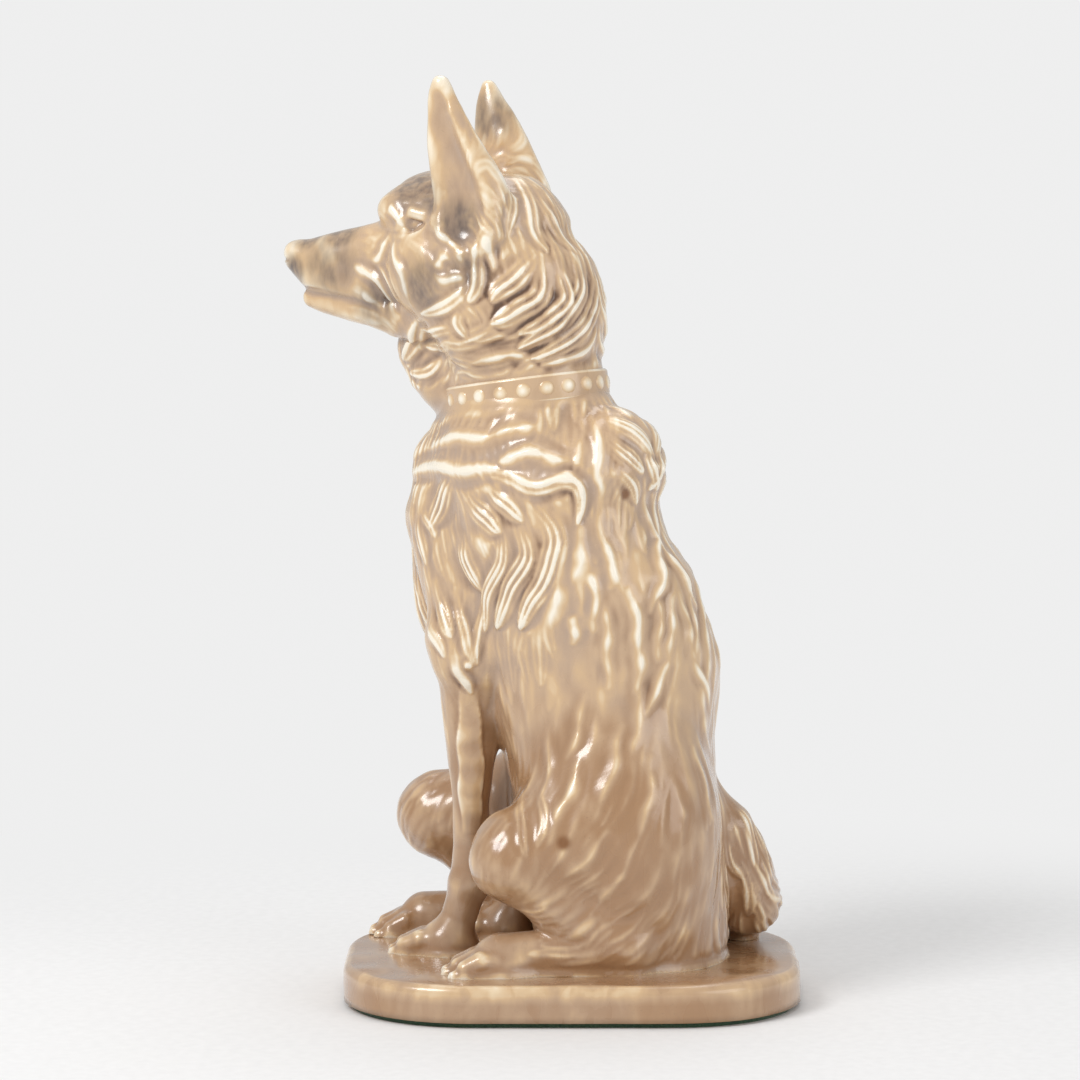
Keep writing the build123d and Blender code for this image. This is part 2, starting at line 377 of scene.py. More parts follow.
def neck():
    # Height, minus the centre's Y, the centre's X, half length, half width, yaw.
    mane = [
        (158.0, 12.5, 0.0, 22.0, 19.0, 31.0),
        (171.0, 12.5, 0.0, 22.4, 19.4, 30.0),
        (178.0, 14.0, 0.0, 22.2, 20.0, 28.0),
        (188.0, 15.2, 0.0, 24.2, 22.0, 26.0),
        (200.0, 17.0, 0.0, 23.8, 21.2, HEAD_YAW),
        (207.0, 18.4, 0.0, 22.0, 19.6, HEAD_YAW),
        (213.0, 21.0, 0.0, 17.0, 16.0, HEAD_YAW),
    ]
    axes = facing(COLLAR_YAW)
    throat = COLLAR * (1, 1, 0) + (28.5, 0, 180.5) @ axes
    gorge = COLLAR * (1, 1, 0) + (24.0, 0, 170.5) @ axes
    return [
        sleeve("head_shell", np.zeros(3), STANDING, mane, blend=6.0),
        blob("head_shell", throat, (10.0, 13.0, 9.0), axes, blend=10.0),
        blob("head_shell", gorge, (8.5, 12.0, 8.0), axes, blend=8.0),
    ]


def skull():
    axes = facing(HEAD_YAW)
    node = "head_shell"
    along = np.array([axes[0], UP, axes[1]])
    # Place ahead of the head, height, sideways centre, half height, half width.
    snout = [
        (12, -7, 0, 14, 14), (24, -7.0, 0, 12.2, 11.8), (34, -7.1, 0, 11.1, 9.8), (45, -7.1, 0, 8.9, 8.2),
        (51, -7.3, 0, 7.4, 6.8), (54.5, -6.4, 0, 5.4, 5.4), (57.4, -5.0, 0, 3.2, 4.0),
    ]
    jaw = [
        (10, -20, 0, 9, 11), (22, -20.6, 0, 6.8, 9.4), (34, -19.4, 0, 4.4, 7.4),
        (45, -18.0, 0, 3.7, 5.7), (53.2, -16.6, 0, 2.7, 4.0),
    ]
    return [
        blob(node, on_head(-0.4, 0, 0.6), (22.4, 18, 16.6), axes, blend=7.0),
        blob(node, on_head(-10, 0, 4), (11, 13, 11.5), axes, blend=8.0),
        blob(node, on_head(13, 0, 6.2), (14.5, 13, 12.6), axes, blend=5.0),
        sleeve(node, HEAD, along, snout, blend=4.0, square=2.4, ends=1.2),
        sleeve(node, HEAD, along, jaw, blend=0.9, square=2.3),
        blob(node, on_head(54.6, 0, -4.4), (4.2, 4.9, 3.5), axes, blend=2.2),
    ]


def head_line(word, stations):
    """Stations given as distance ahead of, beside and above the head's centre, then radius."""
    return [(on_head(ahead, out * SIDES[word], above), radius) for ahead, out, above, radius in stations]


def face(word):
    node = "head_shell"
    upper_lid = [(18.4, 12.4, 3.8, 0.7), (14.6, 13.9, 7.4, 1.2), (9.4, 14.3, 5.6, 0.8)]
    lower_lid = [(18.4, 12.2, 3.0, 0.6), (14.0, 13.7, 0.4, 1.1), (9.4, 14.3, 4.2, 0.7)]
    lip_fold = [(50.0, 4.8, -11.6, 0.6), (40, 6.4, -13.0, 0.9), (30, 8.2, -15.6, 1.0)]
    mouth = [(54.6, 4.0, -13.0, 0.3), (46, 7.0, -14.6, 0.5), (34, 8.8, -17.6, 0.6), (27, 10.0, -19.4, 0.5)]
    nostril_slit = [(58.2, 3.2, -5.6, 0.6), (56.0, 5.2, -6.0, 0.3)]

    def lump(place, radii, blend, carve=False):
        ahead, out, above = place
        return blob(node, on_head(ahead, out * SIDES[word], above), radii, facing(HEAD_YAW), blend, carve)

    def line(stations, blend, carve=False):
        return bone(node, head_line(word, stations), blend, carve)

    cheek = lump((7, 12.5, -9), (14, 8, 12), 6.0)
    jowl = lump((-4, 12.5, -19), (13, 9, 13), 8.0)
    brow = lump((18.8, 7.6, 8.2), (8.6, 6.0, 5.6), 3.0)
    socket = lump((14.2, 14.8, 4.0), (4.8, 2.3, 2.6), 1.8, carve=True)
    eyeball = lump((13.8, 11.7, 3.9), (3.4, 2.2, 2.2), 0.6)
    nostril = lump((58.6, 2.5, -5.2), (1.3, 1.1, 0.9), 0.8, carve=True)
    lids = [line(upper_lid, 1.6), line(lower_lid, 1.6)]
    carved = [line(mouth, 1.2, carve=True), nostril, line(nostril_slit, 0.6, carve=True)]
    return [cheek, jowl, brow, socket, eyeball] + lids + [line(lip_fold, 5.0)] + carved


def ear(word):
    node = f"{word}_ear"
    ahead, left, _ = facing(HEAD_YAW)
    axes = np.array([UP, ahead, left * SIDES[word]])
    # Height, distance ahead and sideways of the head's centre, half length, half thickness.
    blade = [
        (-4, -3.6, 12.5, 6.5, 5.0), (3, -3.6, 14.6, 9.4, 6.2), (8, -3.7, 15.2, 10.6, 6.2),
        (13, -3.4, 15.8, 10.6, 5.6), (18, -2.0, 16.2, 9.9, 4.9), (27, 1.0, 16.6, 7.8, 3.9),
        (34, 3.0, 16.8, 5.7, 3.2), (40, 4.5, 16.8, 3.6, 2.4), (44.2, 5.0, 16.8, 1.7, 1.5),
    ]
    bowl = [
        (-1, -3.2, 21.6, 3.6, 2.0), (3, -2.8, 21.6, 6.2, 3.1), (8, -2.6, 21.8, 7.8, 3.5),
        (13, -2.0, 21.8, 8.0, 3.6), (20, 0.2, 21.4, 6.9, 3.2), (28, 2.6, 20.6, 5.0, 2.6),
        (36, 4.6, 19.8, 2.6, 1.8), (40, 5.2, 19.2, 1.2, 1.0),
    ]
    back_rim = [(0.6, 17.9, 34, 0.6), (-5.4, 19.0, 22, 1.0), (-10.6, 19.0, 10, 1.1), (-10.6, 18.6, 2, 1.0)]
    lower_rim = [
        (-10.6, 18.6, 2, 1.0), (-7.6, 19.6, -2.4, 1.0), (-3.0, 20.0, -4, 1.1),
        (2.0, 19.4, -2.0, 1.1), (5.0, 17.8, 5, 0.9),
    ]
    return [
        sleeve(node, HEAD, axes, blade, blend=3.0, ends=1.5),
        sleeve(node, HEAD, axes, bowl, blend=2.2, ends=2.0, carve=True),
        bone(node, head_line(word, back_rim), blend=4.5),
        bone(node, head_line(word, lower_rim), blend=4.0),
    ]


def dog_shapes():
    shapes = torso() + both(shoulders) + both(foreleg) + both(hind_leg) + tail()
    return shapes + neck() + skull() + both(face) + both(ear)


# ---- hair: guides that say how it lies, and locks raised along it ----
class Guide:
    """How the hair lies near a place: direction, lock length, width and height, and strand pitch."""

    def __init__(self, place, way, length, width, height, pitch):
        self.place, self.way = np.asarray(place, float), np.asarray(way, float)
        self.cut = (length, width, height, pitch)


def mirrored(guide, origin, yaw):
    """The same guide on the other side of the plane through origin that faces along yaw."""
    across = facing(yaw)[1]

    def flip(v):
        return v - 2 * (v @ across) * across

    return Guide(origin + flip(guide.place - origin), flip(guide.way), *guide.cut)


def pair_up(rows, origin, yaw):
    """Guides from rows of place, way, length, width, height and pitch, with their mirror images."""
    guides = [Guide(*row) for row in rows]
    return guides + [mirrored(g, origin, yaw) for g in guides]


def head_guides():
    rows = [
        # Place ahead, left and above; way in the same axes; length, width, height, pitch
        ((48, 3, 0), (-1, 0, 0), 4, 2.0, 0.06, 1.6),
        ((42, 8, -8), (-1, 0, -0.1), 5, 2.2, 0.08, 1.6),
        ((40, 5, -22), (-1, 0, 0), 5, 2.4, 0.12, 1.8),
        ((27, 11, -12), (-0.8, 0.2, -0.5), 6, 2.6, 0.25, 1.8),
        ((16, 5, 16), (-1, 0, 0), 6, 2.6, 0.20, 1.8),
        ((2, 5, 19), (-1, 0, 0), 8, 3.0, 0.4, 2.0),
        ((12, 14, 4), (-0.9, 0, -0.3), 6, 2.8, 0.18, 1.8),
        ((14, 14, -8), (-0.5, 0, -0.9), 9, 3.2, 0.2, 2.0),
        ((4, 18, -14), (-0.7, 0, -0.7), 11, 4.2, 0.3, 2.0),
        ((8, 14, -25), (-0.5, 0, -0.6), 11, 5.0, 0.5, 2.0),
        ((-8, 20, -12), (-0.7, 0, -0.8), 16, 5.6, 0.7, 2.0),
        ((-10, 13, 10), (-0.7, 0, -0.7), 16, 5.4, 0.8, 2.0),
        ((-20, 4, 6), (-0.4, 0, -0.9), 20, 6.0, 1.0, 2.0),
        ((2, 20, 14), (0, 0, 1), 8, 3.0, 0.05, 2.0),
        ((4, 18, 32), (0, 0, 1), 8, 3.0, 0.04, 2.0),
    ]
    rows = [(on_head(*p), np.array(w) @ facing(HEAD_YAW), *cut) for p, w, *cut in rows]
    return pair_up(rows, HEAD, HEAD_YAW)


def neck_guides():
    """The mane turns about the cheek: down the nape, then forward under the jaw."""
    rows = [
        ((18, -15, 202), (0, 0.1, -1), 18, 6.0, 0.9, 3.0),
        ((14, -4, 200), (0, 0.1, -1), 22, 6.4, 0.9, 3.2),
        ((12, 4, 190), (0, -0.25, -1), 22, 6.6, 1.0, 3.2),
        ((18, -4, 184), (0, -0.6, -0.8), 22, 6.6, 0.9, 3.2),
        ((20, -16, 182), (0, -0.9, -0.5), 20, 6.4, 0.8, 3.0),
        ((16, -28, 180), (0, -1, -0.25), 15, 5.6, 0.8, 2.8),
        ((4, -40, 178), (-0.4, -0.8, -0.7), 13, 5.6, 1.7, 2.8),
        ((-12, -38, 172), (0, 0, -1), 13, 5.8, 1.6, 2.8),
        ((8, 5, 176), (0, -0.4, -0.9), 14, 5.6, 0.8, 2.8),
    ]
    return pair_up(rows, COLLAR, COLLAR_YAW)


def chest_guides():
    rows = [
        ((4, -42, 140), (0, 0.25, -1), 12, 4.6, 0.43, 1.8),
        ((20, -27, 136), (0, 0.6, -0.8), 12, 5.0, 0.31, 1.8),
        ((25, -13, 132), (0, 0.35, -0.95), 18, 5.6, 0.37, 1.9),
        ((25, -8, 120), (0, -0.1, -1), 20, 5.6, 0.37, 1.9),
        ((24, -15, 110), (0, -0.35, -0.95), 18, 5.0, 0.37, 1.9),
        ((17, -27, 106), (0, -0.15, -1), 14, 4.4, 0.31, 1.8),
        ((9, -39, 112), (0, 0.3, -0.95), 12, 4.2, 0.37, 1.7),
        ((10, -36, 98), (0, 0.2, -1), 10, 3.6, 0.25, 1.7),
        ((-14, -44, 142), (0.1, 0, -1), 22, 7.0, 1.5, 2.4),
        ((-18, -42, 122), (0.1, 0.1, -1), 22, 6.5, 1.5, 2.4),
        ((-12, -34, 102), (0.1, 0.2, -1), 18, 5.4, 1.2, 2.4),
        ((14, 4, 158), (0, 0.2, -1), 14, 6.0, 0.37, 3.0),
        ((10, 19, 152), (-0.2, 0.6, -0.8), 12, 5.0, 0.62, 2.2),
        ((21, 3, 136), (0, 0.15, -1), 28, 5.4, 0.31, 6.0),
        ((12, 19, 126), (-0.1, 0.35, -0.94), 34, 5.6, 0.37, 6.0),
        ((18, 12, 106), (0, 0.2, -1), 36, 6.0, 0.31, 6.0),
        ((22, 0, 106), (0, 0.05, -1), 28, 5.6, 0.28, 6.0),
    ]
    return pair_up(rows, CHEST, CHEST_YAW)


def hind_guides():
    rows = [
        ((24, -9, 92), (0, 0, -1), 26, 6.0, 0.25, 6.0),
        ((25, 0, 78), (0, -0.15, -1), 28, 5.6, 0.31, 6.0),
        ((22, 16, 78), (0, 0.0, -1), 32, 5.8, 0.31, 6.0),
        ((10, 37, 92), (0, 0.1, -1), 28, 5.2, 0.37, 6.0),
        ((10, 41, 66), (0, 0.2, -1), 18, 4.8, 0.43, 3.0),
        ((32, -10, 64), (0, -0.2, -1), 22, 5.0, 0.37, 5.0),
        ((37, 6, 60), (0, -0.5, -0.87), 26, 4.8, 0.43, 4.6),
        ((37, 20, 54), (0, -0.35, -0.94), 26, 5.4, 0.37, 5.4),
        ((28, 34, 48), (0, 0.0, -1), 24, 5.4, 0.31, 5.4),
        ((36, -20, 46), (0, -0.3, -1), 9, 4.0, 0.15, 3.0),
        ((38, 8, 30), (0, -0.8, -0.6), 18, 5.0, 0.43, 3.6),
        ((30, -8, 16), (0, -1, 0), 8, 3.2, 0.06, 2.4),
    ]
    return pair_up(rows, HAUNCH, PELVIS_YAW)


def limb_guides():
    rows = []
    for word, side in SIDES.items():
        x, y = FORE[word]
        rows += [
            ((x + 6 * side, y, 86), (0, 0, -1), 12, 3.6, 0.15, 2.4),
            ((x, y, 60), (0, 0, -1), 12, 3.6, 0.05, 2.4),
            ((x, y - 2, 34), (0, 0, -1), 9, 3.2, 0.05, 2.0),
            ((x, y - 10, 18), (-0.3, -1, -0.2), 6, 3.0, 0.05, 2.0),
        ]
    knee = KNEE["right"]
    rows += [
        (knee + (0, -8, 8), (0, -0.6, -0.8), 14, 4.6, 0.4, 4.0),
        (knee + (-8, 14, 4), (0, 0.3, -1), 20, 5.0, 0.6, 4.0),
        ((-6, 46, 42), (0, 0.4, -1), 17, 5.0, 1.3, 2.6),
        ((-16, 53, 26), (-1, 0.1, -0.4), 17, 5.0, 1.3, 2.6),
        ((-32, 46, 20), (-0.7, -0.7, 0), 17, 4.8, 1.2, 2.6),
    ]
    return [Guide(*row) for row in rows]


# Locks modelled one by one, drawn on the dog's left side in a view along -X from 5 degrees up. Each is a path
# of (Y, height in the view), then width, height and strands. RIDGE is a smooth swell, SLAB a flat-topped one.
RIDGE, SLAB = 0, -1
HEAD_LOCKS = [
    ([(-18.8, 225.9), (-15.6, 220.9), (-15.6, 214.5), (-16.2, 209)], 5.0, 1.0, 2),
    ([(-16.2, 227.2), (-11.8, 222), (-10.5, 215.8), (-9.2, 210.7), (-6, 205)], 5.4, 1.2, 2),
    ([(-9.5, 223.5), (-7, 217), (-2.5, 210.7), (2, 205)], 5.0, 1.1, 2),
    ([(-23.2, 209), (-22.6, 205), (-21.9, 200)], 3.8, 1.0, 1),
    ([(-25.7, 208), (-27, 203), (-26.4, 198.6), (-27, 194), (-28.9, 189)], 5.0, 1.4, 2),
    ([(-39, 198), (-34, 197), (-29.6, 198)], 4.2, 0.8, RIDGE),
    ([(-28.8, 195.5), (-31.5, 190.6), (-36.5, 188.6), (-42, 187)], 5.0, 1.2, 2),
    ([(-38.8, 199.6), (-36.5, 202), (-33.6, 201.2)], 5.0, 0.9, RIDGE),
    ([(-49, 209.4), (-49.4, 203.7), (-46.9, 196.7), (-44.2, 189)], 4.0, 0.9, RIDGE),
    ([(-61.4, 201.4), (-57, 200), (-53.4, 195.8), (-50.7, 191.5), (-48.6, 187)], 4.4, 1.3, RIDGE),
    ([(-55, 203.4), (-52, 197.6), (-49, 192), (-47, 187.2)], 2.6, 0.6, RIDGE),
    ([(-50.6, 210.6), (-53, 205.4), (-56, 202)], 4.4, 1.0, RIDGE),
    ([(-51, 219.6), (-49, 214.5), (-46.4, 209.8)], 4.0, 1.0, RIDGE),
    ([(-38.4, 211.6), (-35.3, 208), (-31, 206.6)], 3.2, 0.8, RIDGE),
    ([(-31, 188), (-32.6, 183.6), (-29.4, 179.8)], 4.2, 1.0, 2),
    ([(-59, 194.4), (-55.5, 191.6), (-52, 190.4)], 3.4, 0.6, RIDGE),
]
MANE_LOCKS = [
    ([(-9, 203.6), (-14, 198), (-19.6, 194.2), (-23, 191)], 7.8, 1.8, 3),
    ([(-7.4, 202.6), (-6.8, 195.5), (-10.6, 189.4), (-16.2, 185.6), (-23, 184)], 8.0, 1.9, 3),
    ([(-3.8, 204), (-1.2, 197.4), (0.2, 192), (-2, 187.2), (-7.3, 183.8), (-14, 181)], 7.8, 1.9, 3),
    ([(-0.2, 208), (2.6, 200.5), (2.8, 194.2), (0.2, 187.6), (-5, 182.4), (-14, 177.6)], 7.8, 1.9, 3),
    ([(4, 206), (7, 199), (7, 192), (6, 186), (2.2, 181.2), (-3.5, 177.2), (-11, 174.6)], 7.8, 1.9, 3),
    ([(8, 187), (6, 179), (1, 175.4), (-8, 173.4)], 6.6, 1.6, 2),
    ([(-9.5, 173.2), (-16.5, 176), (-22, 175.8), (-29.6, 172.6)], 5.6, 1.3, RIDGE),
    ([(-42, 187), (-44.8, 181), (-47.4, 175.4)], 7.0, 1.8, 2),
    ([(-33, 182.8), (-38, 182.4), (-43, 183.4)], 4.2, 1.1, 2),
    ([(-33.6, 178), (-38, 178.2), (-42, 179)], 4.2, 1.1, 2),
    ([(-36.2, 175), (-40.6, 171.6), (-45.6, 171.8)], 4.8, 1.5, 2),
    ([(-35, 171), (-38.6, 167), (-42.6, 165.8)], 4.2, 1.2, 2),
]
BODY_LOCKS = [
    # The ruff: long soft rolls across the shoulder, the lowest ending in a curl.
    ([(-41.4, 152), (-36, 155.4), (-28, 155), (-20, 156.4), (-8, 159)], 7.5, 1.6, RIDGE),
    ([(-46, 144.6), (-41, 147.8), (-35.1, 146.4), (-29.7, 145.2), (-19, 147)], 6.4, 1.9, RIDGE),
    ([(-24, 147), (-16, 150.6), (-10.4, 150.6), (-1, 148)], 7.2, 1.7, RIDGE),
    ([(-26, 146), (-16.6, 142), (-11, 139.6), (-6.5, 140.4), (-2.4, 142.4), (1.6, 141.4), (3.4, 137.4),
      (2.2, 131.4)], 5.6, 1.8, 2),
    ([(-8, 143.6), (-3.4, 143.8), (0.4, 141)], 5.0, 1.5, 2),
    ([(5.4, 161), (7, 152), (8, 145), (8.6, 134)], 5.0, 1.1, RIDGE),
    ([(8.6, 160.6), (14.4, 158), (19.8, 154.4), (23, 150)], 6.4, 1.3, 4),
    ([(10.4, 155), (15.6, 149.4), (20.4, 144)], 6.6, 1.4, 4),
    ([(23.4, 153), (24.8, 147), (21.6, 139)], 5.4, 1.8, 3),
    ([(12.4, 146.5), (16.6, 142), (18.4, 135)], 5.0, 1.2, 3),
    # Tufts of fine strands over the shoulder and upper arm.
    ([(-34, 144), (-36.6, 138), (-39.8, 130.6)], 7.6, 1.5, 4),
    ([(-42, 135), (-40.4, 130.5), (-38, 126.4)], 4.6, 1.0, 3),
    ([(-43.4, 133), (-42.8, 126), (-40.6, 118.6)], 5.2, 1.12, 3),
    ([(-29.4, 137), (-25.4, 132.4), (-20, 127.4)], 8.0, 1.6, 4),
    ([(-24, 139.6), (-19.4, 135), (-14, 131)], 6.6, 1.5, 3),
    ([(-30.6, 126.4), (-29.4, 118.8), (-25.6, 111.6)], 7.0, 1.75, 4),
    ([(-12.6, 136.4), (-7.2, 130.6), (-5.6, 122), (-8.6, 114.6), (-11.8, 109), (-15.4, 101.6)], 8.4, 1.88, 4),
    ([(-16, 130.6), (-12.6, 121.8), (-16.4, 115), (-19.4, 108.8), (-21.6, 101)], 8.0, 1.88, 4),
    ([(-20.6, 129), (-18.8, 121.2), (-22.4, 115), (-24.4, 109), (-25.2, 100.6)], 6.4, 1.75, 4),
    ([(-24.6, 114), (-26, 106), (-26.4, 99), (-25.4, 91)], 3.8, 1.25, 2),
    ([(-33, 113.6), (-31.2, 104.3), (-28.9, 98), (-26.2, 91.6)], 4.2, 1.25, 2),
    ([(-38.4, 114), (-36.2, 106), (-33.8, 99.6)], 5.4, 1.25, 3),
    ([(-41, 105.4), (-38.4, 99), (-35.6, 93)], 4.2, 1.0, 2),
    ([(-33.6, 93.6), (-31.4, 87.6), (-26.4, 83.6)], 4.4, 1.2, 1),
    ([(-31, 90.6), (-29.6, 91.6), (-28.6, 89.8)], 3.2, 1.0, RIDGE),
    # Long soft swells down the back and flank.
    ([(-3.4, 121), (-5.2, 111), (-7.2, 99)], 7.0, 0.8, RIDGE),
    ([(3.8, 132), (1.6, 123), (-1, 113)], 6.0, 0.7, RIDGE),
    ([(8, 135), (9.6, 126), (12.4, 118), (15.6, 109)], 5.4, 1.0, RIDGE),
    ([(15.4, 116), (18, 105), (19.2, 95), (18.4, 82)], 5.6, 1.2, RIDGE),
    ([(4, 119), (5.1, 110), (5, 100)], 4.2, 0.9, RIDGE),
    ([(9.8, 110), (9.8, 98), (8, 85)], 5.2, 0.9, RIDGE),
    ([(-0.2, 106), (-0.8, 97)], 4.6, 0.7, RIDGE),
    ([(24.2, 113), (24.6, 103), (24, 92)], 5.0, 0.8, RIDGE),
    ([(20.8, 139), (22, 130), (26.4, 124.2), (31, 117.6), (35.6, 108)], 5.2, 1.5, RIDGE),
    ([(29.6, 114), (32.6, 104), (34, 92)], 5.4, 0.8, RIDGE),
    ([(33.8, 93.6), (37, 85.5), (39.4, 78.6)], 4.6, 0.9, RIDGE),
    ([(20, 88), (18.4, 76), (16, 64)], 6.0, 0.7, RIDGE),
    # The long muscle down the front of the forearm.
    ([(-28.4, 86), (-27.6, 77), (-28.4, 63), (-29, 44)], 7.6, 0.9, SLAB),
]
HIND_LOCKS = [
    ([(2.4, 85), (0.6, 75.6), (-2.8, 67.6)], 4.8, 0.6, RIDGE),
    ([(1.8, 71), (-1.6, 60), (-5, 53.6), (-7.4, 44)], 5.6, 0.8, RIDGE),
    ([(15, 79), (10.8, 67), (7.4, 59), (2.6, 48)], 5.6, 0.6, RIDGE),
    ([(22.4, 70), (21.6, 59), (18.6, 46)], 6.0, 0.5, RIDGE),
    ([(-7.6, 76), (-7.6, 65.5), (-10.2, 56)], 5.0, 0.6, RIDGE),
    ([(-14.4, 60), (-15.2, 51), (-11, 41)], 4.2, 0.7, 2),
    ([(-10.4, 62), (-8.6, 53), (-9, 44)], 4.2, 0.6, 2),
    ([(33.8, 72), (37, 60), (39.4, 49)], 5.0, 0.6, RIDGE),
    ([(28.4, 64), (30.4, 52), (30, 40)], 5.8, 0.5, RIDGE),
    ([(9.6, 50), (3, 40), (-5, 31.6)], 6.0, 0.6, RIDGE),
    ([(19.6, 47), (14, 36), (5, 26.6)], 6.0, 0.6, RIDGE),
]


class Coat:
    """The hair's direction and cut at any point, blended from the guides near it."""

    NEAREST = 12.0  # squared distance below which a guide's weight levels off
    FALL = -2.6  # how fast a guide's weight falls with squared distance

    def __init__(self, guides):
        self.places = np.array([g.place for g in guides])
        self.ways = np.array([g.way / np.linalg.norm(g.way) for g in guides])
        self.cuts = np.array([g.cut for g in guides], float)

    def at(self, points):
        gaps = ((points[:, None, :] - self.places[None]) ** 2).sum(2)
        weight = (gaps + self.NEAREST) ** self.FALL
        weight /= weight.sum(1, keepdims=True)
        return weight @ self.ways, weight @ self.cuts


def tangent(way, normal):
    way = way - (way * normal).sum(1, keepdims=True) * normal
    return way / np.maximum(np.linalg.norm(way, axis=1, keepdims=True), 1e-6)


def scatter(points, spacing, rng):
    """Indices of points that are at least their own spacing apart, in random order."""
    cell = 2.0
    taken, kept = {}, []
    for i in rng.permutation(len(points)):
        p, r = points[i], spacing[i]
        c = np.floor(p / cell).astype(int)
        n = int(r // cell) + 1
        around = itertools.product(*(range(own - n, own + n + 1) for own in c.tolist()))
        near = (taken[spot] for spot in around if spot in taken)
        if any(((q - p) ** 2).sum() < r * r for q in near):
            continue
        taken[tuple(c.tolist())] = p
        kept.append(i)
    return np.array(kept)


STEPS = 9  # points along a lock
BEND = 0.16  # how strongly a lock bends to one side, as a spread


def trace(clay, coat, roots, cuts, rng):
    """Paths of locks from their roots, bent a little, held to the surface."""
    bend = rng.normal(0, BEND, len(roots))
    paths, normals = [roots], [clay.slope(roots)]
    for step in range(STEPS - 1):
        here, normal = paths[-1], normals[-1]
        way, _ = coat.at(here)
        way = tangent(way, normal)
        turn = bend[:, None] * math.cos(1.5 * math.pi * step / STEPS)
        way = way + np.cross(normal, way) * turn
        there = here + way / np.linalg.norm(way, axis=1, keepdims=True) * cuts[:, :1] / (STEPS - 1)
        for _ in range(2):
            there = there - clay.at(there)[:, None] * clay.slope(there)
        paths.append(there)
        normals.append(clay.slope(there))
    return np.stack(paths, 1), np.stack(normals, 1)


class Cells:
    """Vertices sorted into cells, to find those near a lock."""

    def __init__(self, points, size=4.0):
        self.size = size
        keys = np.floor(points / size).astype(int)
        order = np.lexsort(keys.T)
        keys = keys[order]
        starts = np.flatnonzero(np.any(np.diff(keys, axis=0, prepend=keys[:1] - 1), axis=1))
        ends = np.append(starts[1:], len(keys))
        self.found = {tuple(keys[s]): order[s:e] for s, e in zip(starts, ends)}

    def near(self, path, room):
        a = np.floor((path - room) / self.size).astype(int)
        b = np.floor((path + room) / self.size).astype(int)
        wanted = set()
        for low, high in zip(a, b):
            for i in range(low[0], high[0] + 1):
                for j in range(low[1], high[1] + 1):
                    wanted.update((i, j, k) for k in range(low[2], high[2] + 1))
        hits = [self.found[w] for w in wanted if w in self.found]
        return np.concatenate(hits) if hits else np.zeros(0, int)


def smooth_step(a, b, x):
    t = np.clip((x - a) / (b - a), 0, 1)
    return t * t * (3 - 2 * t)


def lock_form(s, width, strands):
    """Half width and rise along a lock: a flame with a pointed tip, or a swell that fades at both ends."""
    if strands > 0:
        root = 0.6 + 0.4 * np.sin(np.pi / 2 * np.minimum(s / 0.5, 1))
        tip = np.sqrt(np.clip(1 - ((s - 0.5) / 0.5) ** 2, 0, 1))
        rise = smooth_step(0.0, 0.5, s) * (1 - 0.35 * smooth_step(0.75, 1.0, s))
        return width / 2 * np.where(s < 0.5, root, tip), 0.12 + 0.88 * rise
    swell = np.sin(np.pi * np.clip(s, 0, 1))
    return width / 2 * (0.5 + 0.5 * np.sqrt(swell)), swell**0.8


def cross_section(across, strands, phase):
    """Height across a lock, from 0 at its edges to 1."""
    inside = np.clip(1 - across**2, 0, 1)
    if strands == SLAB:
        return smooth_step(0.0, 0.30, inside)
    if strands == RIDGE:
        return np.clip(1 - np.abs(across), 0, 1) ** 1.3
    if strands == 1:
        return inside
    wave = 0.5 - 0.5 * np.cos(2 * np.pi * ((across + 1) / 2 * strands + phase))
    return inside**1.2 * (0.44 + 0.56 * wave)


def nearest_on(path, points):
    """For each point: the path's nearest segment, how far along it, the offset from it and its direction."""
    starts, steps = path[:-1], np.diff(path, axis=0)
    size = np.maximum((steps * steps).sum(1), 1e-9)
    t = np.clip(((points[:, None] - starts) * steps).sum(2) / size, 0, 1)
    off = points[:, None] - starts - t[..., None] * steps
    i = (off * off).sum(2).argmin(1)
    row = np.arange(len(points))
    return i, t[row, i], off[row, i], steps[i] / np.sqrt(size[i])[:, None]


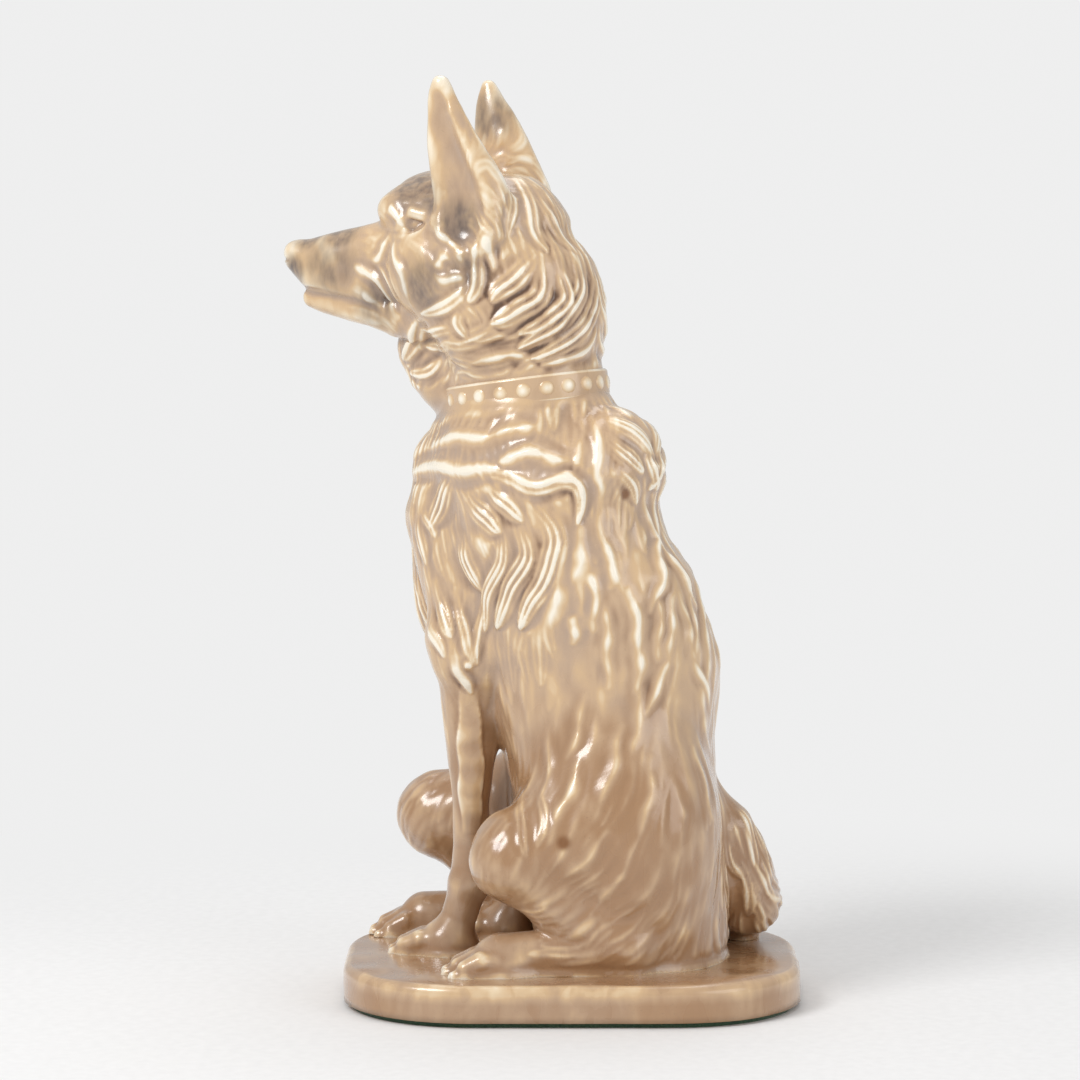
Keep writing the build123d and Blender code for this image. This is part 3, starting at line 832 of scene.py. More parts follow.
class Relief:
    """At each vertex: the hair's height above the clay, how far locks cover it, and the grooves beside them."""

    WAVE = 5.5  # path points between one thickening of a lock and the next
    LIFT = 3.5  # how far off the surface a vertex may lie and still be raised
    FACING = 0.15  # least agreement between a vertex's normal and the lock's
    GROOVE_AT, GROOVE_WIDTH = 1.3, 0.4  # where a lock's groove runs, in half widths, and how wide it is

    def __init__(self, points, normals):
        self.points, self.normals = points, normals
        self.cells = Cells(points)
        self.height, self.cover, self.groove = (np.zeros(len(points)) for _ in range(3))

    def raise_lock(self, path, path_normals, width, height, strands, phase=0.0, swell=0.0):
        """Raises a lock along a path. swell is how much it thickens, thins and sways on the way."""
        near = self.cells.near(path, 0.9 * width + 0.5)
        if not len(near):
            return
        i, t, off, way = nearest_on(path, self.points[near])
        n = path_normals[i]
        s = (i + t) / (len(path) - 1)
        side = (off * np.cross(n, way)).sum(1)
        past = np.abs((off * way).sum(1))
        lift = np.abs((off * n).sum(1))
        half, rise = lock_form(s, width, strands)
        turns = 2 * np.pi * s * len(path) / self.WAVE
        rise = rise * (1 + swell * np.sin(turns + 9 * phase) * np.cos(0.6 * turns + 5 * phase))
        side = side + swell * 1.1 * np.sin(0.8 * turns + 3 * phase)
        across = np.sqrt(side**2 + past**2) * np.sign(side) / np.maximum(half, 0.05)
        good = (lift < self.LIFT) & ((self.normals[near] * n).sum(1) > self.FACING) & (np.abs(across) < 2.2)
        near, across, rise = near[good], across[good], rise[good]
        inside = np.clip(1 - across**2, 0, 1)
        raised = height * rise * cross_section(across, strands, phase)
        self.height[near] = np.maximum(self.height[near], raised)
        self.cover[near] = np.maximum(self.cover[near], rise * np.minimum(inside * 3, 1))
        trough = height * rise * np.exp(-(((np.abs(across) - self.GROOVE_AT) / self.GROOVE_WIDTH) ** 2))
        self.groove[near] = np.maximum(self.groove[near], trough)


ROOT_CHOICES = 70000  # vertices among which the coat's roots are chosen
LEAST_HEIGHT = 0.12  # locks lower than this are left out
CUT_SPREAD = ((0.8, 1.2), (0.8, 1.25), (0.6, 1.15))  # how a lock's length, width and height vary


def strands_for(width, pitch):
    """Strands in a lock of the coat, or a smooth swell where it is too narrow for its pitch."""
    if pitch > 0.8 * width:
        return RIDGE
    return max(1, round(width / pitch))


def coat_relief(clay, coat, points, normals, rng):
    """The general coat: locks scattered all over, cut and laid by the guides."""
    relief = Relief(points, normals)
    some = rng.choice(len(points), min(ROOT_CHOICES, len(points)), replace=False)
    _, cuts = coat.at(points[some])
    sparse = 0.62 + 0.40 * smooth_step(18.0, 32.0, cuts[:, 0])
    spacing = np.clip(sparse * np.sqrt(cuts[:, 1] * cuts[:, 0] * 0.42), 2.2, 12.0)
    chosen = scatter(points[some], spacing, rng)
    chosen = chosen[cuts[chosen, 2] > LEAST_HEIGHT]
    mix = np.stack([rng.uniform(least, most, len(chosen)) for least, most in CUT_SPREAD], 1)
    cut, pitches = cuts[chosen, :3] * mix, cuts[chosen, 3]
    paths, path_normals = trace(clay, coat, points[some][chosen], cut, rng)
    phases = rng.uniform(-0.2, 0.2, len(chosen))
    for path, normal, (_, width, height), pitch, phase in zip(paths, path_normals, cut, pitches, phases):
        relief.raise_lock(path, normal, width, height, strands_for(width, pitch), phase)
    return relief


DRAWN_COLLAR = np.array([-12.5, 167.4])  # the collar's middle in the drawings above
DRAWN_STEP = 2.0  # distance between points of a drawn lock's path
NEAR_LINE = 1.2  # how close in the view a vertex has to be to a drawn point to carry it
SWELL_RIDGE, SWELL_TUFT = 0.4, 0.25  # how unevenly a smooth swell and a tuft of strands run
VIEW_RISE = math.radians(5.0)
TOWARDS_VIEW = np.array([math.cos(VIEW_RISE), 0.0, math.sin(VIEW_RISE)])
VIEW_UP = np.array([-math.sin(VIEW_RISE), 0.0, math.cos(VIEW_RISE)])


def settle(clay, path):
    """Moves a path onto the clay's surface, smoothed along its length."""
    for _ in range(4):
        path[1:-1] = 0.5 * path[1:-1] + 0.25 * (path[:-2] + path[2:])
        for _ in range(2):
            path = path - clay.at(path)[:, None] * clay.slope(path)
    return path


def drawn_path(clay, drawing, facing_view):
    """A drawn line laid on the nearest surface that faces the view."""
    flat = np.array(drawing, float) - DRAWN_COLLAR + (COLLAR[1], COLLAR @ VIEW_UP)
    run = np.concatenate([[0], np.cumsum(np.linalg.norm(np.diff(flat, axis=0), axis=1))])
    count = max(8, int(run[-1] / DRAWN_STEP))
    line = fine_table(np.column_stack([run, flat]), count)[:, 1:]
    ys, heights, depths, spots = facing_view
    path = []
    for y, height in line:
        near = (np.abs(ys - y) < NEAR_LINE) & (np.abs(heights - height) < NEAR_LINE)
        if near.any():
            path.append(spots[near][depths[near].argmax()])
        else:
            path.append(spots[((ys - y) ** 2 + (heights - height) ** 2).argmin()])
    return settle(clay, np.array(path))


def drawn_relief(clay, points, normals, rng):
    """The locks modelled one by one on the left side, and their mirror images on the right."""
    relief = Relief(points, normals)
    seen = normals @ TOWARDS_VIEW > 0.08
    spots = points[seen]
    facing_view = spots[:, 1], spots @ VIEW_UP, spots @ TOWARDS_VIEW, spots
    groups = [
        (HEAD_LOCKS, HEAD, HEAD_YAW),
        (MANE_LOCKS, COLLAR, COLLAR_YAW - 4),
        (BODY_LOCKS, CHEST, CHEST_YAW - 5),
        (HIND_LOCKS, HAUNCH, PELVIS_YAW),
    ]
    for locks, origin, yaw in groups:
        across = facing(yaw)[1]
        for drawing, width, height, strands in locks:
            path = drawn_path(clay, drawing, facing_view)
            twin = path - 2 * ((path - origin) @ across)[:, None] * across
            swell = SWELL_RIDGE if strands == RIDGE else SWELL_TUFT
            for line in (path, settle(clay, twin)):
                phase = rng.uniform(-0.3, 0.3)
                relief.raise_lock(line, clay.slope(line), width, height, strands, phase, swell)
    return relief


# ---- mesh help ----
def vertex_normals(points, quads):
    a, b, c, d = (points[quads[:, k]] for k in range(4))
    n = np.cross(c - a, d - b)

    def gathered(weights):
        return sum(np.bincount(quads[:, k], weights, len(points)) for k in range(4))

    total = np.stack([gathered(n[:, axis]) for axis in range(3)], 1)
    return total / np.maximum(np.linalg.norm(total, axis=1, keepdims=True), 1e-12)


class Net:
    """Neighbours of each vertex, for smoothing."""

    def __init__(self, quads, count):
        pairs = np.unique(np.sort(quad_edges(quads), 1), axis=0)
        self.a, self.b, self.count = pairs[:, 0], pairs[:, 1], count
        self.degree = np.maximum(np.bincount(pairs.ravel(), minlength=count), 1)

    def average(self, values):
        columns = values.reshape(self.count, -1)
        a, b, count = self.a, self.b, self.count
        out = [np.bincount(a, c[b], count) + np.bincount(b, c[a], count) for c in columns.T]
        return (np.stack(out, 1) / self.degree[:, None]).reshape(values.shape)

    def smooth(self, values, rounds, strength=0.6):
        for _ in range(rounds):
            values = values + strength * (self.average(values) - values)
        return values


def wobble(points, size, rng, terms=14):
    """Smooth random field from -1 to 1 with features about size across."""
    total = np.zeros(len(points))
    for _ in range(terms):
        way = rng.normal(size=3)
        way *= 2 * np.pi / size / np.linalg.norm(way) * rng.uniform(0.6, 1.3)
        total += np.sin(points @ way + rng.uniform(0, 2 * np.pi))
    return total / math.sqrt(terms)


CLEAR = 6.0  # empty space kept round the clay


def block_of_clay(shapes):
    """All the shapes worked together, with a glaze fillet onto the plinth and a flat cut at its face."""
    low = np.min([s.low for s in shapes], 0) - CLEAR
    high = np.max([s.high for s in shapes], 0) + CLEAR
    low[2] = GROUND - CLEAR
    clay = Clay(low, high, VOXEL)
    for shape in shapes:
        clay.work(shape)
    z = clay.places(2, 0, clay.field.shape[2])
    floor = np.broadcast_to(z - GROUND, clay.field.shape)
    clay.field = soft_min(clay.field, floor, GLAZE_FILLET)
    clay.field = np.maximum(clay.field, (GROUND + SOLE_CUT - z)[None, None, :])
    return clay


def hair_relief(clay, points, normals, net, rng):
    """Height of the hair and of the hand-made unevenness, fading out at the plinth and under the collar."""
    coat = Coat(head_guides() + neck_guides() + chest_guides() + hind_guides() + limb_guides())
    coat_hair = coat_relief(clay, coat, points, normals, rng)
    drawn = drawn_relief(clay, points, normals, rng)
    relief = coat_hair.height * (1 - 0.9 * drawn.cover) * (1 - 0.5 * np.minimum(drawn.groove, 1))
    relief = relief + 0.9 * drawn.height - 0.12 * drawn.groove * (1 - drawn.cover)
    relief = relief + 0.3 * wobble(points, 24.0, rng) + 0.12 * wobble(points, 9.0, rng)
    foot = smooth_step(GROUND + 0.4, GROUND + 4.0, points[:, 2])
    band = np.abs((points - COLLAR) @ collar_axes()[2])
    relief *= foot * smooth_step(3.0, 6.5, band)
    return net.smooth(relief, 1)


def settled_points(points, net):
    """The surface smoothed once, with its lowest edge drawn down into the plinth."""
    level = points[:, 2].copy()
    low_edge = level < GROUND + 0.5
    points = net.smooth(points, 1, 0.45)
    points[low_edge, 2] = level[low_edge]
    points[:, 2] -= SOLE_DEPTH * smooth_step(GROUND + 1.0, GROUND + 0.3, level)
    return points


def sculpt():
    """The dog as one mesh: points, quads, normals, hair height and neighbours, with its shapes and clay."""
    rng = np.random.default_rng(SEED)
    shapes = dog_shapes()
    clay = block_of_clay(shapes)
    points, quads = clay.mesh()
    for _ in range(2):
        points -= clay.at(points)[:, None] * clay.slope(points) * 0.8
    net = Net(quads, len(points))
    normals = net.smooth(vertex_normals(points, quads), 2)
    relief = hair_relief(clay, points, normals, net, rng)
    points = settled_points(points + normals * relief[:, None], net)
    return points, quads, vertex_normals(points, quads), relief, net, shapes, clay


def in_spreads(values):
    """Values scaled so that few are beyond -1 or 1."""
    return values / np.percentile(np.abs(values), 85)


def ridges(points, normals, net, rounds):
    """How far each vertex stands out of its smoothed surroundings."""
    return in_spreads(((points - net.smooth(points, rounds)) * normals).sum(1))


def recess(clay, points, normals):
    """0 where the surface is open and nearly 1 far inside a hollow, judged from the clay in front of it: an
    occlusion estimate that paints shade into the hollows.
    """
    total = np.zeros(len(points))
    gaps = (2.5, 5.0, 8.0, 12.0, 17.0)
    for gap in gaps:
        total += 1 - np.clip(clay.at(points + normals * gap) / gap, 0, 1)
    return total / len(gaps)


def near_places(points, places):
    """1 at each place, fading out at its radius, times its strength."""
    value = np.zeros(len(points))
    for place, radius, strength in places:
        gap = np.sqrt(((points - place) ** 2).sum(1))
        value = np.maximum(value, strength * (1 - smooth_step(0.3 * radius, radius, gap)))
    return value


def dark_glaze_and_shade_places():
    """Where the head is darkened: dark glaze on the muzzle and forehead, and painted shade in the eye sockets,
    the ears' bowls, inside the far ear and under the nose. Each is a place, a radius and a strength.
    """
    places = [
        # Dark glaze down the muzzle, along the jaw and on the forehead.
        (on_head(50, 2, 0), 8.0, 1.0),
        (on_head(40, 5, 1), 9.0, 0.9),
        (on_head(42, 8, -7), 12.0, 0.75),
        (on_head(28, 10, -18), 10.0, 0.75),
        (on_head(15, 9, 15), 12.0, 0.9),
        # Painted shade inside the far ear.
        (on_head(3, -13.0, 34.0), 10.0, 0.9),
    ]
    for side in SIDES.values():
        places += [
            # Painted shade under the nose, in the eye socket and in the ear's bowl.
            (on_head(54.5, 4.6 * side, -9.5), 7.0, 1.3),
            (on_head(14.0, 12.8 * side, 4.0), 4.6, 0.35),
            (on_head(-1.0, 18.5 * side, 5.0), 8.5, 0.9),
            # Darker patches on the temple, cheek and jowl.
            (on_head(8.0, 15.0 * side, 12.0), 8.0, 0.8),
            (on_head(9.0, 18.0 * side, -12.0), 11.0, 0.75),
            (on_head(-4.0, 19.0 * side, -9.0), 9.0, 0.7),
        ]
    return places


def node_labels(points, shapes, net, nodes):
    """Which node each vertex belongs to: the nearest, or the one that a hollow there is carved from. The neck
    is cut at the collar's plane."""
    far, won = 1e3, -40.0
    gaps = np.full((len(points), len(nodes)), far)
    for shape in shapes:
        k = nodes.index(shape.node)
        near = np.all((points > shape.low - 8) & (points < shape.high + 8), axis=1)
        p = points[near]
        gap = shape.distance(p[:, 0], p[:, 1], p[:, 2])
        if shape.carve:
            gap = np.where(gap < 1.5, won, far)
        gaps[near, k] = np.minimum(gaps[near, k], gap)
    gaps = net.smooth(np.minimum(gaps, 12.0), 6)
    label = gaps.argmin(1)
    head, torso_label = nodes.index("head_shell"), nodes.index("torso_shell")
    above = (points - COLLAR) @ collar_axes()[2] > 0
    label[(label == torso_label) & above] = head
    label[(label == head) & ~above] = torso_label
    return label


def quad_edges(quads):
    """The four edges of every quad, as pairs of vertices in the quad's own direction."""
    return np.concatenate([quads[:, [k, (k + 1) % 4]] for k in range(4)])


def majority(votes):
    """The label that most corners of each face carry, or the first of those that tie."""
    face = np.array(votes[:, 0])
    for k in range(1, 4):
        same = (votes == votes[:, [k]]).sum(1)
        best = (votes == face[:, None]).sum(1)
        face = np.where(same > best, votes[:, k], face)
    return face


def adjoining_faces(quads):
    """Pairs of faces that share an edge, as two arrays."""
    edges = np.sort(quad_edges(quads), 1)
    owner = np.tile(np.arange(len(quads)), 4)
    order = np.lexsort(edges.T)
    edges, owner = edges[order], owner[order]
    twin = np.flatnonzero((edges[1:] == edges[:-1]).all(1))
    return owner[twin], owner[twin + 1]


def islands(face, a, b):
    """A number for each face that it shares with all the faces of its label that it is joined to."""
    island = np.arange(len(face))
    joined = face[a] == face[b]
    ja, jb = a[joined], b[joined]
    while True:
        low = np.minimum(island[ja], island[jb])
        before = island.copy()
        np.minimum.at(island, ja, low)
        np.minimum.at(island, jb, low)
        island = island[island]
        if (before == island).all():
            return island


def clean_faces(quads, label):
    """One node per face, with stray patches given to the node round them."""
    face = majority(label[quads])
    a, b = adjoining_faces(quads)
    for _ in range(4):
        island = islands(face, a, b)
        sizes = np.bincount(island, minlength=len(quads))
        biggest = {}
        for i in np.flatnonzero(sizes):
            node = face[i]
            if node not in biggest or sizes[i] > sizes[biggest[node]]:
                biggest[node] = i
        stray = ~np.isin(island, list(biggest.values()))
        if not stray.any():
            break
        for u, v in ((a, b), (b, a)):
            move = stray[u] & ~stray[v]
            face[u[move]] = face[v[move]]
    return face


def boundary_loops(quads):
    """Closed loops of vertices along the open edge of a set of faces."""
    seen = {tuple(p) for p in quad_edges(quads).tolist()}
    following = {}
    for p, q in seen:
        if (q, p) not in seen:
            following.setdefault(p, []).append(q)
    loops = []
    while following:
        start = next(iter(following))
        loop, here = [], start
        while here in following:
            loop.append(here)
            options = following[here]
            there = options.pop()
            if not options:
                del following[here]
            here = there
            if here == start:
                break
        loops.append(loop)
    return loops


def sunk(clay, spots, depth):
    """Spots moved inside the clay until they lie at least depth below its surface."""
    for _ in range(6):
        spots = spots - np.maximum(clay.at(spots) + depth, 0)[:, None] * clay.slope(spots)
    return spots


CAP_RINGS = (0.06, 0.22, 0.45, 0.72)  # how far each ring of a closing face is drawn in to its middle
CAP_DEPTH, CAP_SLOPE, HUB_DEPTH = 1.6, 18, 0.8  # how deep inside the clay the rings and the middle lie
SMALL_LOOP = 12  # an open loop of no more corners than this is closed without rings


def capped(points, quads, clay):
    """Faces that close a piece: rings inside the clay that shrink to the middle of each open loop."""
    extra, faces = [], []
    for loop in boundary_loops(quads):
        if len(loop) < 3:
            continue
        centre = points[loop].mean(0)
        last = np.array(loop)
        following = np.roll(np.arange(len(loop)), -1)
        for share in CAP_RINGS if len(loop) > SMALL_LOOP else ():
            ring = len(points) + len(extra) + np.arange(len(loop))
            spots = points[loop] * (1 - share) + centre * share
            extra += list(sunk(clay, spots, min(CAP_DEPTH, CAP_SLOPE * share)))
            faces += [(last[i], ring[i], ring[j], last[j]) for i, j in enumerate(following)]
            last = ring
        hub = len(points) + len(extra)
        extra.append(sunk(clay, centre[None], HUB_DEPTH)[0])
        faces += [(last[i], hub, last[j]) for i, j in enumerate(following)]
    return np.array(extra).reshape(-1, 3), faces


def make_mesh(name, points, faces, normals=None, values=None):
    """A smooth-shaded object, with values as numbers on its vertices that materials can read."""
    mesh = bpy.data.meshes.new(name)
    mesh.from_pydata(np.asarray(points) * MM, [], faces)
    mesh.update()
    mesh.shade_smooth()
    for key, column in (values or {}).items():
        attribute = mesh.attributes.new(key, "FLOAT", "POINT")
        attribute.data.foreach_set("value", np.asarray(column, np.float32))
    if normals is not None:
        mesh.normals_split_custom_set_from_vertices(np.asarray(normals))
    piece = bpy.data.objects.new(name, mesh)
    bpy.context.collection.objects.link(piece)
    return piece


def seat(piece, node, material):
    """Finishes a piece: its material, the node it stands for and the body it rides on."""
    piece.data.materials.append(material)
    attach(piece, "root")
    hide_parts(node)


SPOTS = [  # place and radius of each brown spot
    ((13, 6.5, 144), 2.2),
    ((37, -2, 48), 2.8),
    ((37, -20, 47), 1.6),
    ((-24, -36, 131), 1.8),
    ((-30, 14, 92), 1.6),
]


def kiln_spots(points):
    """Brown spots, each on the surface nearest to a place."""
    on_surface = [(points[((points - place) ** 2).sum(1).argmin()], radius, 1.0) for place, radius in SPOTS]
    return near_places(points, on_surface)


def glaze_measures(points, normals, relief, net, clay):
    """What the glaze goes by at each vertex. A finer grid needs more rounds to smooth the same distance."""
    scale = (0.6 / VOXEL) ** 2
    fine_rounds, broad_rounds = max(2, round(8 * scale)), max(8, round(90 * scale))
    return {
        "fine": ridges(points, normals, net, fine_rounds),
        "broad": in_spreads(relief - net.smooth(relief, broad_rounds)),
        "hollow_shade": recess(clay, points, normals),
        # Painted shade: how enclosed each vertex is, to darken the glaze in hollows.
        "dark_glaze_and_shade": near_places(points, dark_glaze_and_shade_places()),
        # Dark glaze on the muzzle and forehead, and painted shade in the hollows of the nose, eyes and ears.
        "spot": kiln_spots(points),
        "run": smooth_step(105.0, 55.0, points[:, 2]),
    }


def dog_pieces(glaze):
    """The sculpted dog, divided among its nodes. Each piece is closed where it was cut from the others."""
    points, quads, normals, relief, net, shapes, clay = sculpt()
    nodes = sorted({s.node for s in shapes})
    measures = glaze_measures(points, normals, relief, net, clay)
    label = clean_faces(quads, node_labels(points, shapes, net, nodes))
    for k, node in enumerate(nodes):
        used, inverse = np.unique(quads[label == k], return_inverse=True)
        faces = inverse.reshape(-1, 4)
        extra, caps = capped(points[used], faces, clay)
        values = {key: np.concatenate([v[used], np.zeros(len(extra))]) for key, v in measures.items()}
        own_points = np.concatenate([points[used], extra])
        own_normals = np.concatenate([normals[used], np.zeros((len(extra), 3))])
        piece = make_mesh("dog_" + node, own_points, faces.tolist() + caps, own_normals, values)
        seat(piece, node, glaze)


# ---- plinth, felt and collar ----
def rounded_outline(low, high, corner, count=160):
    """Points round a rectangle with round corners, evenly spaced."""
    centre, half = (low + high) / 2, (high - low) / 2
    arc, flat = math.pi / 2 * corner, 2 * (half - corner)
    lengths = [flat[1], arc, flat[0], arc] * 2
    total, outline = sum(lengths), []
    for i in range(count):
        s = total * i / count
        for k, run in enumerate(lengths):
            if s <= run:
                break
            s -= run
        quarter, straight = k // 2, k % 2 == 0
        turn = quarter * math.pi / 2
        long_side = half[0] if quarter % 2 == 0 else half[1]
        short_side = half[1] if quarter % 2 == 0 else half[0]
        if straight:
            p = (long_side, -(short_side - corner) + s)
        else:
            a = s / corner
            p = (long_side - corner + corner * math.cos(a), short_side - corner + corner * math.sin(a))
        cos, sin = math.cos(turn), math.sin(turn)
        outline.append((p[0] * cos - p[1] * sin, p[0] * sin + p[1] * cos))
    return np.array(outline) + centre


def ring_faces(rings, count):
    """Quads between each ring and the next, and from the last back to the first."""
    faces = []
    for r in range(len(rings)):
        a, b = r * count, (r + 1) % len(rings) * count
        faces += [(a + i, a + (i + 1) % count, b + (i + 1) % count, b + i) for i in range(count)]
    return faces


VENT_CENTRE = np.array([0.0, 17.0])
RIM_POINTS = 200  # points round a slab's outline


def slab_rings(low, high, corner, edge, recess, vent):
    """Rings of a slab from the vent's upper rim out over the top, down the side and back underneath."""

    def outline(inset):
        return rounded_outline(low[:2] + inset, high[:2] - inset, corner - inset, RIM_POINTS)

    outer = outline(0.0) - VENT_CENTRE
    angle = np.arctan2(outer[:, 1], outer[:, 0])
    hole = np.stack([np.cos(angle), np.sin(angle)], 1) * vent + VENT_CENTRE
    top, bottom = high[2], low[2]
    inner = outline(edge)
    rings = [(hole * (1 - share) + inner * share, top) for share in (0.0, 0.12, 0.25, 0.4, 0.55, 0.7, 0.85)]
    for a in np.linspace(0, math.pi / 2, 6):
        rings.append((outline(edge * (1 - math.sin(a))), top - edge * (1 - math.cos(a))))
    for share in (0.35, 0.7, 0.95):
        rings.append((outline(0.0), top - edge - (top - edge - bottom) * share))
    rings.append((outline(0.4), bottom))
    if recess:
        rim, panel = recess
        rings.append((outline(rim), bottom))
        rings.append((outline(rim + 0.6), top - panel))
        rings.append(((hole - VENT_CENTRE) * 1.1 + VENT_CENTRE, top - panel))
    else:
        rings.append((hole, bottom))
    return [np.column_stack([flat, np.full(RIM_POINTS, z)]) for flat, z in rings]


def slab(name, node, material, corner, edge, vent, rough, recess=None):
    """Slab with a rounded upper edge and a vent hole. recess is its rim's width and its panel's thickness."""
    low, high = corners(node)
    rng = np.random.default_rng(SEED + 1)
    top, bottom = high[2], low[2]
    rings = slab_rings(low, high, corner, edge, recess, vent)
    points = np.concatenate(rings)
    bevel = (points[:, 2] > top - edge - 0.1) & (points[:, 2] < top - 0.02 * edge)
    values = {"fine": np.where(bevel, 1.2, -0.2), "run": np.ones(len(points))}
    side = np.where(points[:, 2] > bottom + 0.1, 1.0, 0.0)
    points[:, 2] += side * rough * wobble(points, 17.0, rng) * (points[:, 2] > top - 0.05)
    points[:, :2] += (side * rough * wobble(points, 15.0, rng))[:, None] * 0.4
    points[:, 2] -= max(points[:, 2].max() - top, 0)
    points[:, 2] = np.maximum(points[:, 2], bottom)
    faces = [f[::-1] for f in ring_faces(rings, RIM_POINTS)]
    seat(make_mesh(name, points, faces, None, values), node, material)


BAND_THICK, BAND_HEIGHT, BAND_POINTS = 2.2, 7.6, 260


def band_profile():
    """Rounded cross-section of the band: distance out from the neck, and rise."""
    corner, root, half = 0.9, -1.2, BAND_HEIGHT / 2
    profile = [(root, -half + 0.3)]
    for rise, start in ((-half + corner, -90), (half - corner, 0)):
        for a in np.radians(np.linspace(start, start + 90, 6)):
            profile.append((BAND_THICK - corner + corner * math.cos(a), rise + corner * math.sin(a)))
    return profile + [(root, half - 0.3)]


def on_collar(turn, out, rise):
    """Point on the collar: out is the distance from the band's outer face."""
    half = BAND_HALF
    axes = collar_axes()
    spot = np.array([half[0] * math.cos(turn), half[1] * math.sin(turn), 0.0])
    normal = np.array([math.cos(turn) / half[0], math.sin(turn) / half[1], 0.0])
    normal /= np.linalg.norm(normal)
    return COLLAR + (spot + normal * out + (0, 0, rise)) @ axes


def collar_band(glaze):
    profile = band_profile()
    turns = [2 * math.pi * i / BAND_POINTS for i in range(BAND_POINTS)]
    points = np.array([on_collar(turn, out - BAND_THICK, rise) for turn in turns for out, rise in profile])
    n = len(profile)
    faces = []
    for i in range(BAND_POINTS):
        j = (i + 1) % BAND_POINTS
        for k in range(n):
            m = (k + 1) % n
            faces.append((i * n + k, j * n + k, j * n + m, i * n + m))
    thin_edge = BAND_HEIGHT / 2 - 0.8
    edge = np.tile([2.0 if abs(rise) > thin_edge else -0.35 for _, rise in profile], BAND_POINTS)
    seat(make_mesh("collar_band_glazed", points, faces, None, {"fine": edge}), "collar_band", glaze)


STUDS, STUD_POINTS, STUD_RINGS = 22, 20, 6
STUD_RADIUS, STUD_RISE, STUD_ROOT = 2.3, 1.0, 0.5  # the root is how far a stud's rim is sunk into the band


def stud_points(turn):
    """Points of one domed stud in rings from its rim to its crown, and how thin the glaze is at each."""
    centre = on_collar(turn, 0.0, 0.0)
    out = on_collar(turn, 1.0, 0.0) - centre
    side = np.cross(out, collar_axes()[2])
    up = np.cross(side, out)
    points, fine = [], []
    for share in np.arange(STUD_RINGS) / (STUD_RINGS - 1):
        lean = math.pi / 2 * share
        wide = STUD_RADIUS * math.cos(lean) + 0.02
        height = STUD_RISE * math.sin(lean) - STUD_ROOT
        for k in range(STUD_POINTS):
            a = 2 * math.pi * k / STUD_POINTS
            points.append(centre + out * height + side * wide * math.cos(a) + up * wide * math.sin(a))
            fine.append(-1.0 + 4.0 * share)
    return points, fine


def stud_faces(base):
    """Faces of the stud whose points start at base: its dome, its crown and its flat back."""
    faces = []
    for r in range(STUD_RINGS - 1):
        low, high = base + r * STUD_POINTS, base + (r + 1) * STUD_POINTS
        for k in range(STUD_POINTS):
            m = (k + 1) % STUD_POINTS
            faces.append((low + m, low + k, high + k, high + m))
    crown = base + (STUD_RINGS - 1) * STUD_POINTS
    faces.append([crown + k for k in reversed(range(STUD_POINTS))])
    faces.append([base + k for k in range(STUD_POINTS)])
    return faces


def collar_studs(glaze):
    """Low rounded bosses along the middle of the band, all in one piece."""
    points, faces, fine = [], [], []
    for i in range(STUDS):
        faces += stud_faces(len(points))
        more_points, more_fine = stud_points(2 * math.pi * i / STUDS)
        points += more_points
        fine += more_fine
    seat(make_mesh("collar_studs_glazed", points, faces, None, {"fine": fine}), "collar_studs", glaze)


# ---- materials ----
def shade(red, green, blue):
    """Linear colour from the values, well above 0 and up to 255, that it should show as."""
    return tuple(((v / 255 + 0.055) / 1.055) ** 2.4 for v in (red, green, blue)) + (1.0,)


class Nodes:
    """Short calls to build a material's node tree."""

    def __init__(self, name):
        self.material = bpy.data.materials.new(name)
        self.material.use_nodes = True
        self.tree = self.material.node_tree
        self.bsdf = self.tree.nodes["Principled BSDF"]

    def put(self, target, value):
        if isinstance(value, bpy.types.NodeSocket):
            self.tree.links.new(value, target)
        else:
            target.default_value = value

    def math(self, kind, a, b=0.0, clamp=False):
        node = self.tree.nodes.new("ShaderNodeMath")
        node.operation, node.use_clamp = kind, clamp
        self.put(node.inputs[0], a)
        self.put(node.inputs[1], b)
        return node.outputs[0]

    def times(self, a, b, clamp=False):
        return self.math("MULTIPLY", a, b, clamp)

    def less(self, a, b):
        return self.math("SUBTRACT", a, b)

    def attribute(self, name):
        node = self.tree.nodes.new("ShaderNodeAttribute")
        node.attribute_name = name
        return node.outputs["Fac"]

    def noise(self, scale, detail=3.0, rough=0.5, distort=0.0, squash=1.0):
        """Noise in object space, drawn out along Z when squash is below 1."""
        place = self.tree.nodes.new("ShaderNodeTexCoord")
        shape = self.tree.nodes.new("ShaderNodeMapping")
        shape.inputs["Scale"].default_value = (1.0, 1.0, squash)
        node = self.tree.nodes.new("ShaderNodeTexNoise")
        self.put(shape.inputs["Vector"], place.outputs["Object"])
        self.put(node.inputs["Vector"], shape.outputs["Vector"])
        settings = {"Scale": scale, "Detail": detail, "Roughness": rough, "Distortion": distort}
        for key, value in settings.items():
            node.inputs[key].default_value = value
        return node.outputs["Fac"]

    def ramp(self, value, stops, smooth=False):
        node = self.tree.nodes.new("ShaderNodeValToRGB")
        self.put(node.inputs["Fac"], value)
        ramp = node.color_ramp
        ramp.interpolation = "EASE" if smooth else "LINEAR"
        while len(ramp.elements) < len(stops):
            ramp.elements.new(0.5)
        for element, (place, colour) in zip(ramp.elements, stops):
            element.position, element.color = place, colour
        return node.outputs["Color"]

    def mix(self, share, a, b, kind="MIX"):
        node = self.tree.nodes.new("ShaderNodeMix")
        node.data_type, node.blend_type = "RGBA", kind
        self.put(node.inputs["Factor"], share)
        self.put(node.inputs[6], a)
        self.put(node.inputs[7], b)
        return node.outputs[2]

    def bump(self, height, distance, strength=1.0):
        node = self.tree.nodes.new("ShaderNodeBump")
        node.inputs["Distance"].default_value = distance
        node.inputs["Strength"].default_value = strength
        self.put(node.inputs["Height"], height)
        return node.outputs["Normal"]


def grey(value):
    return (value, value, value, 1.0)


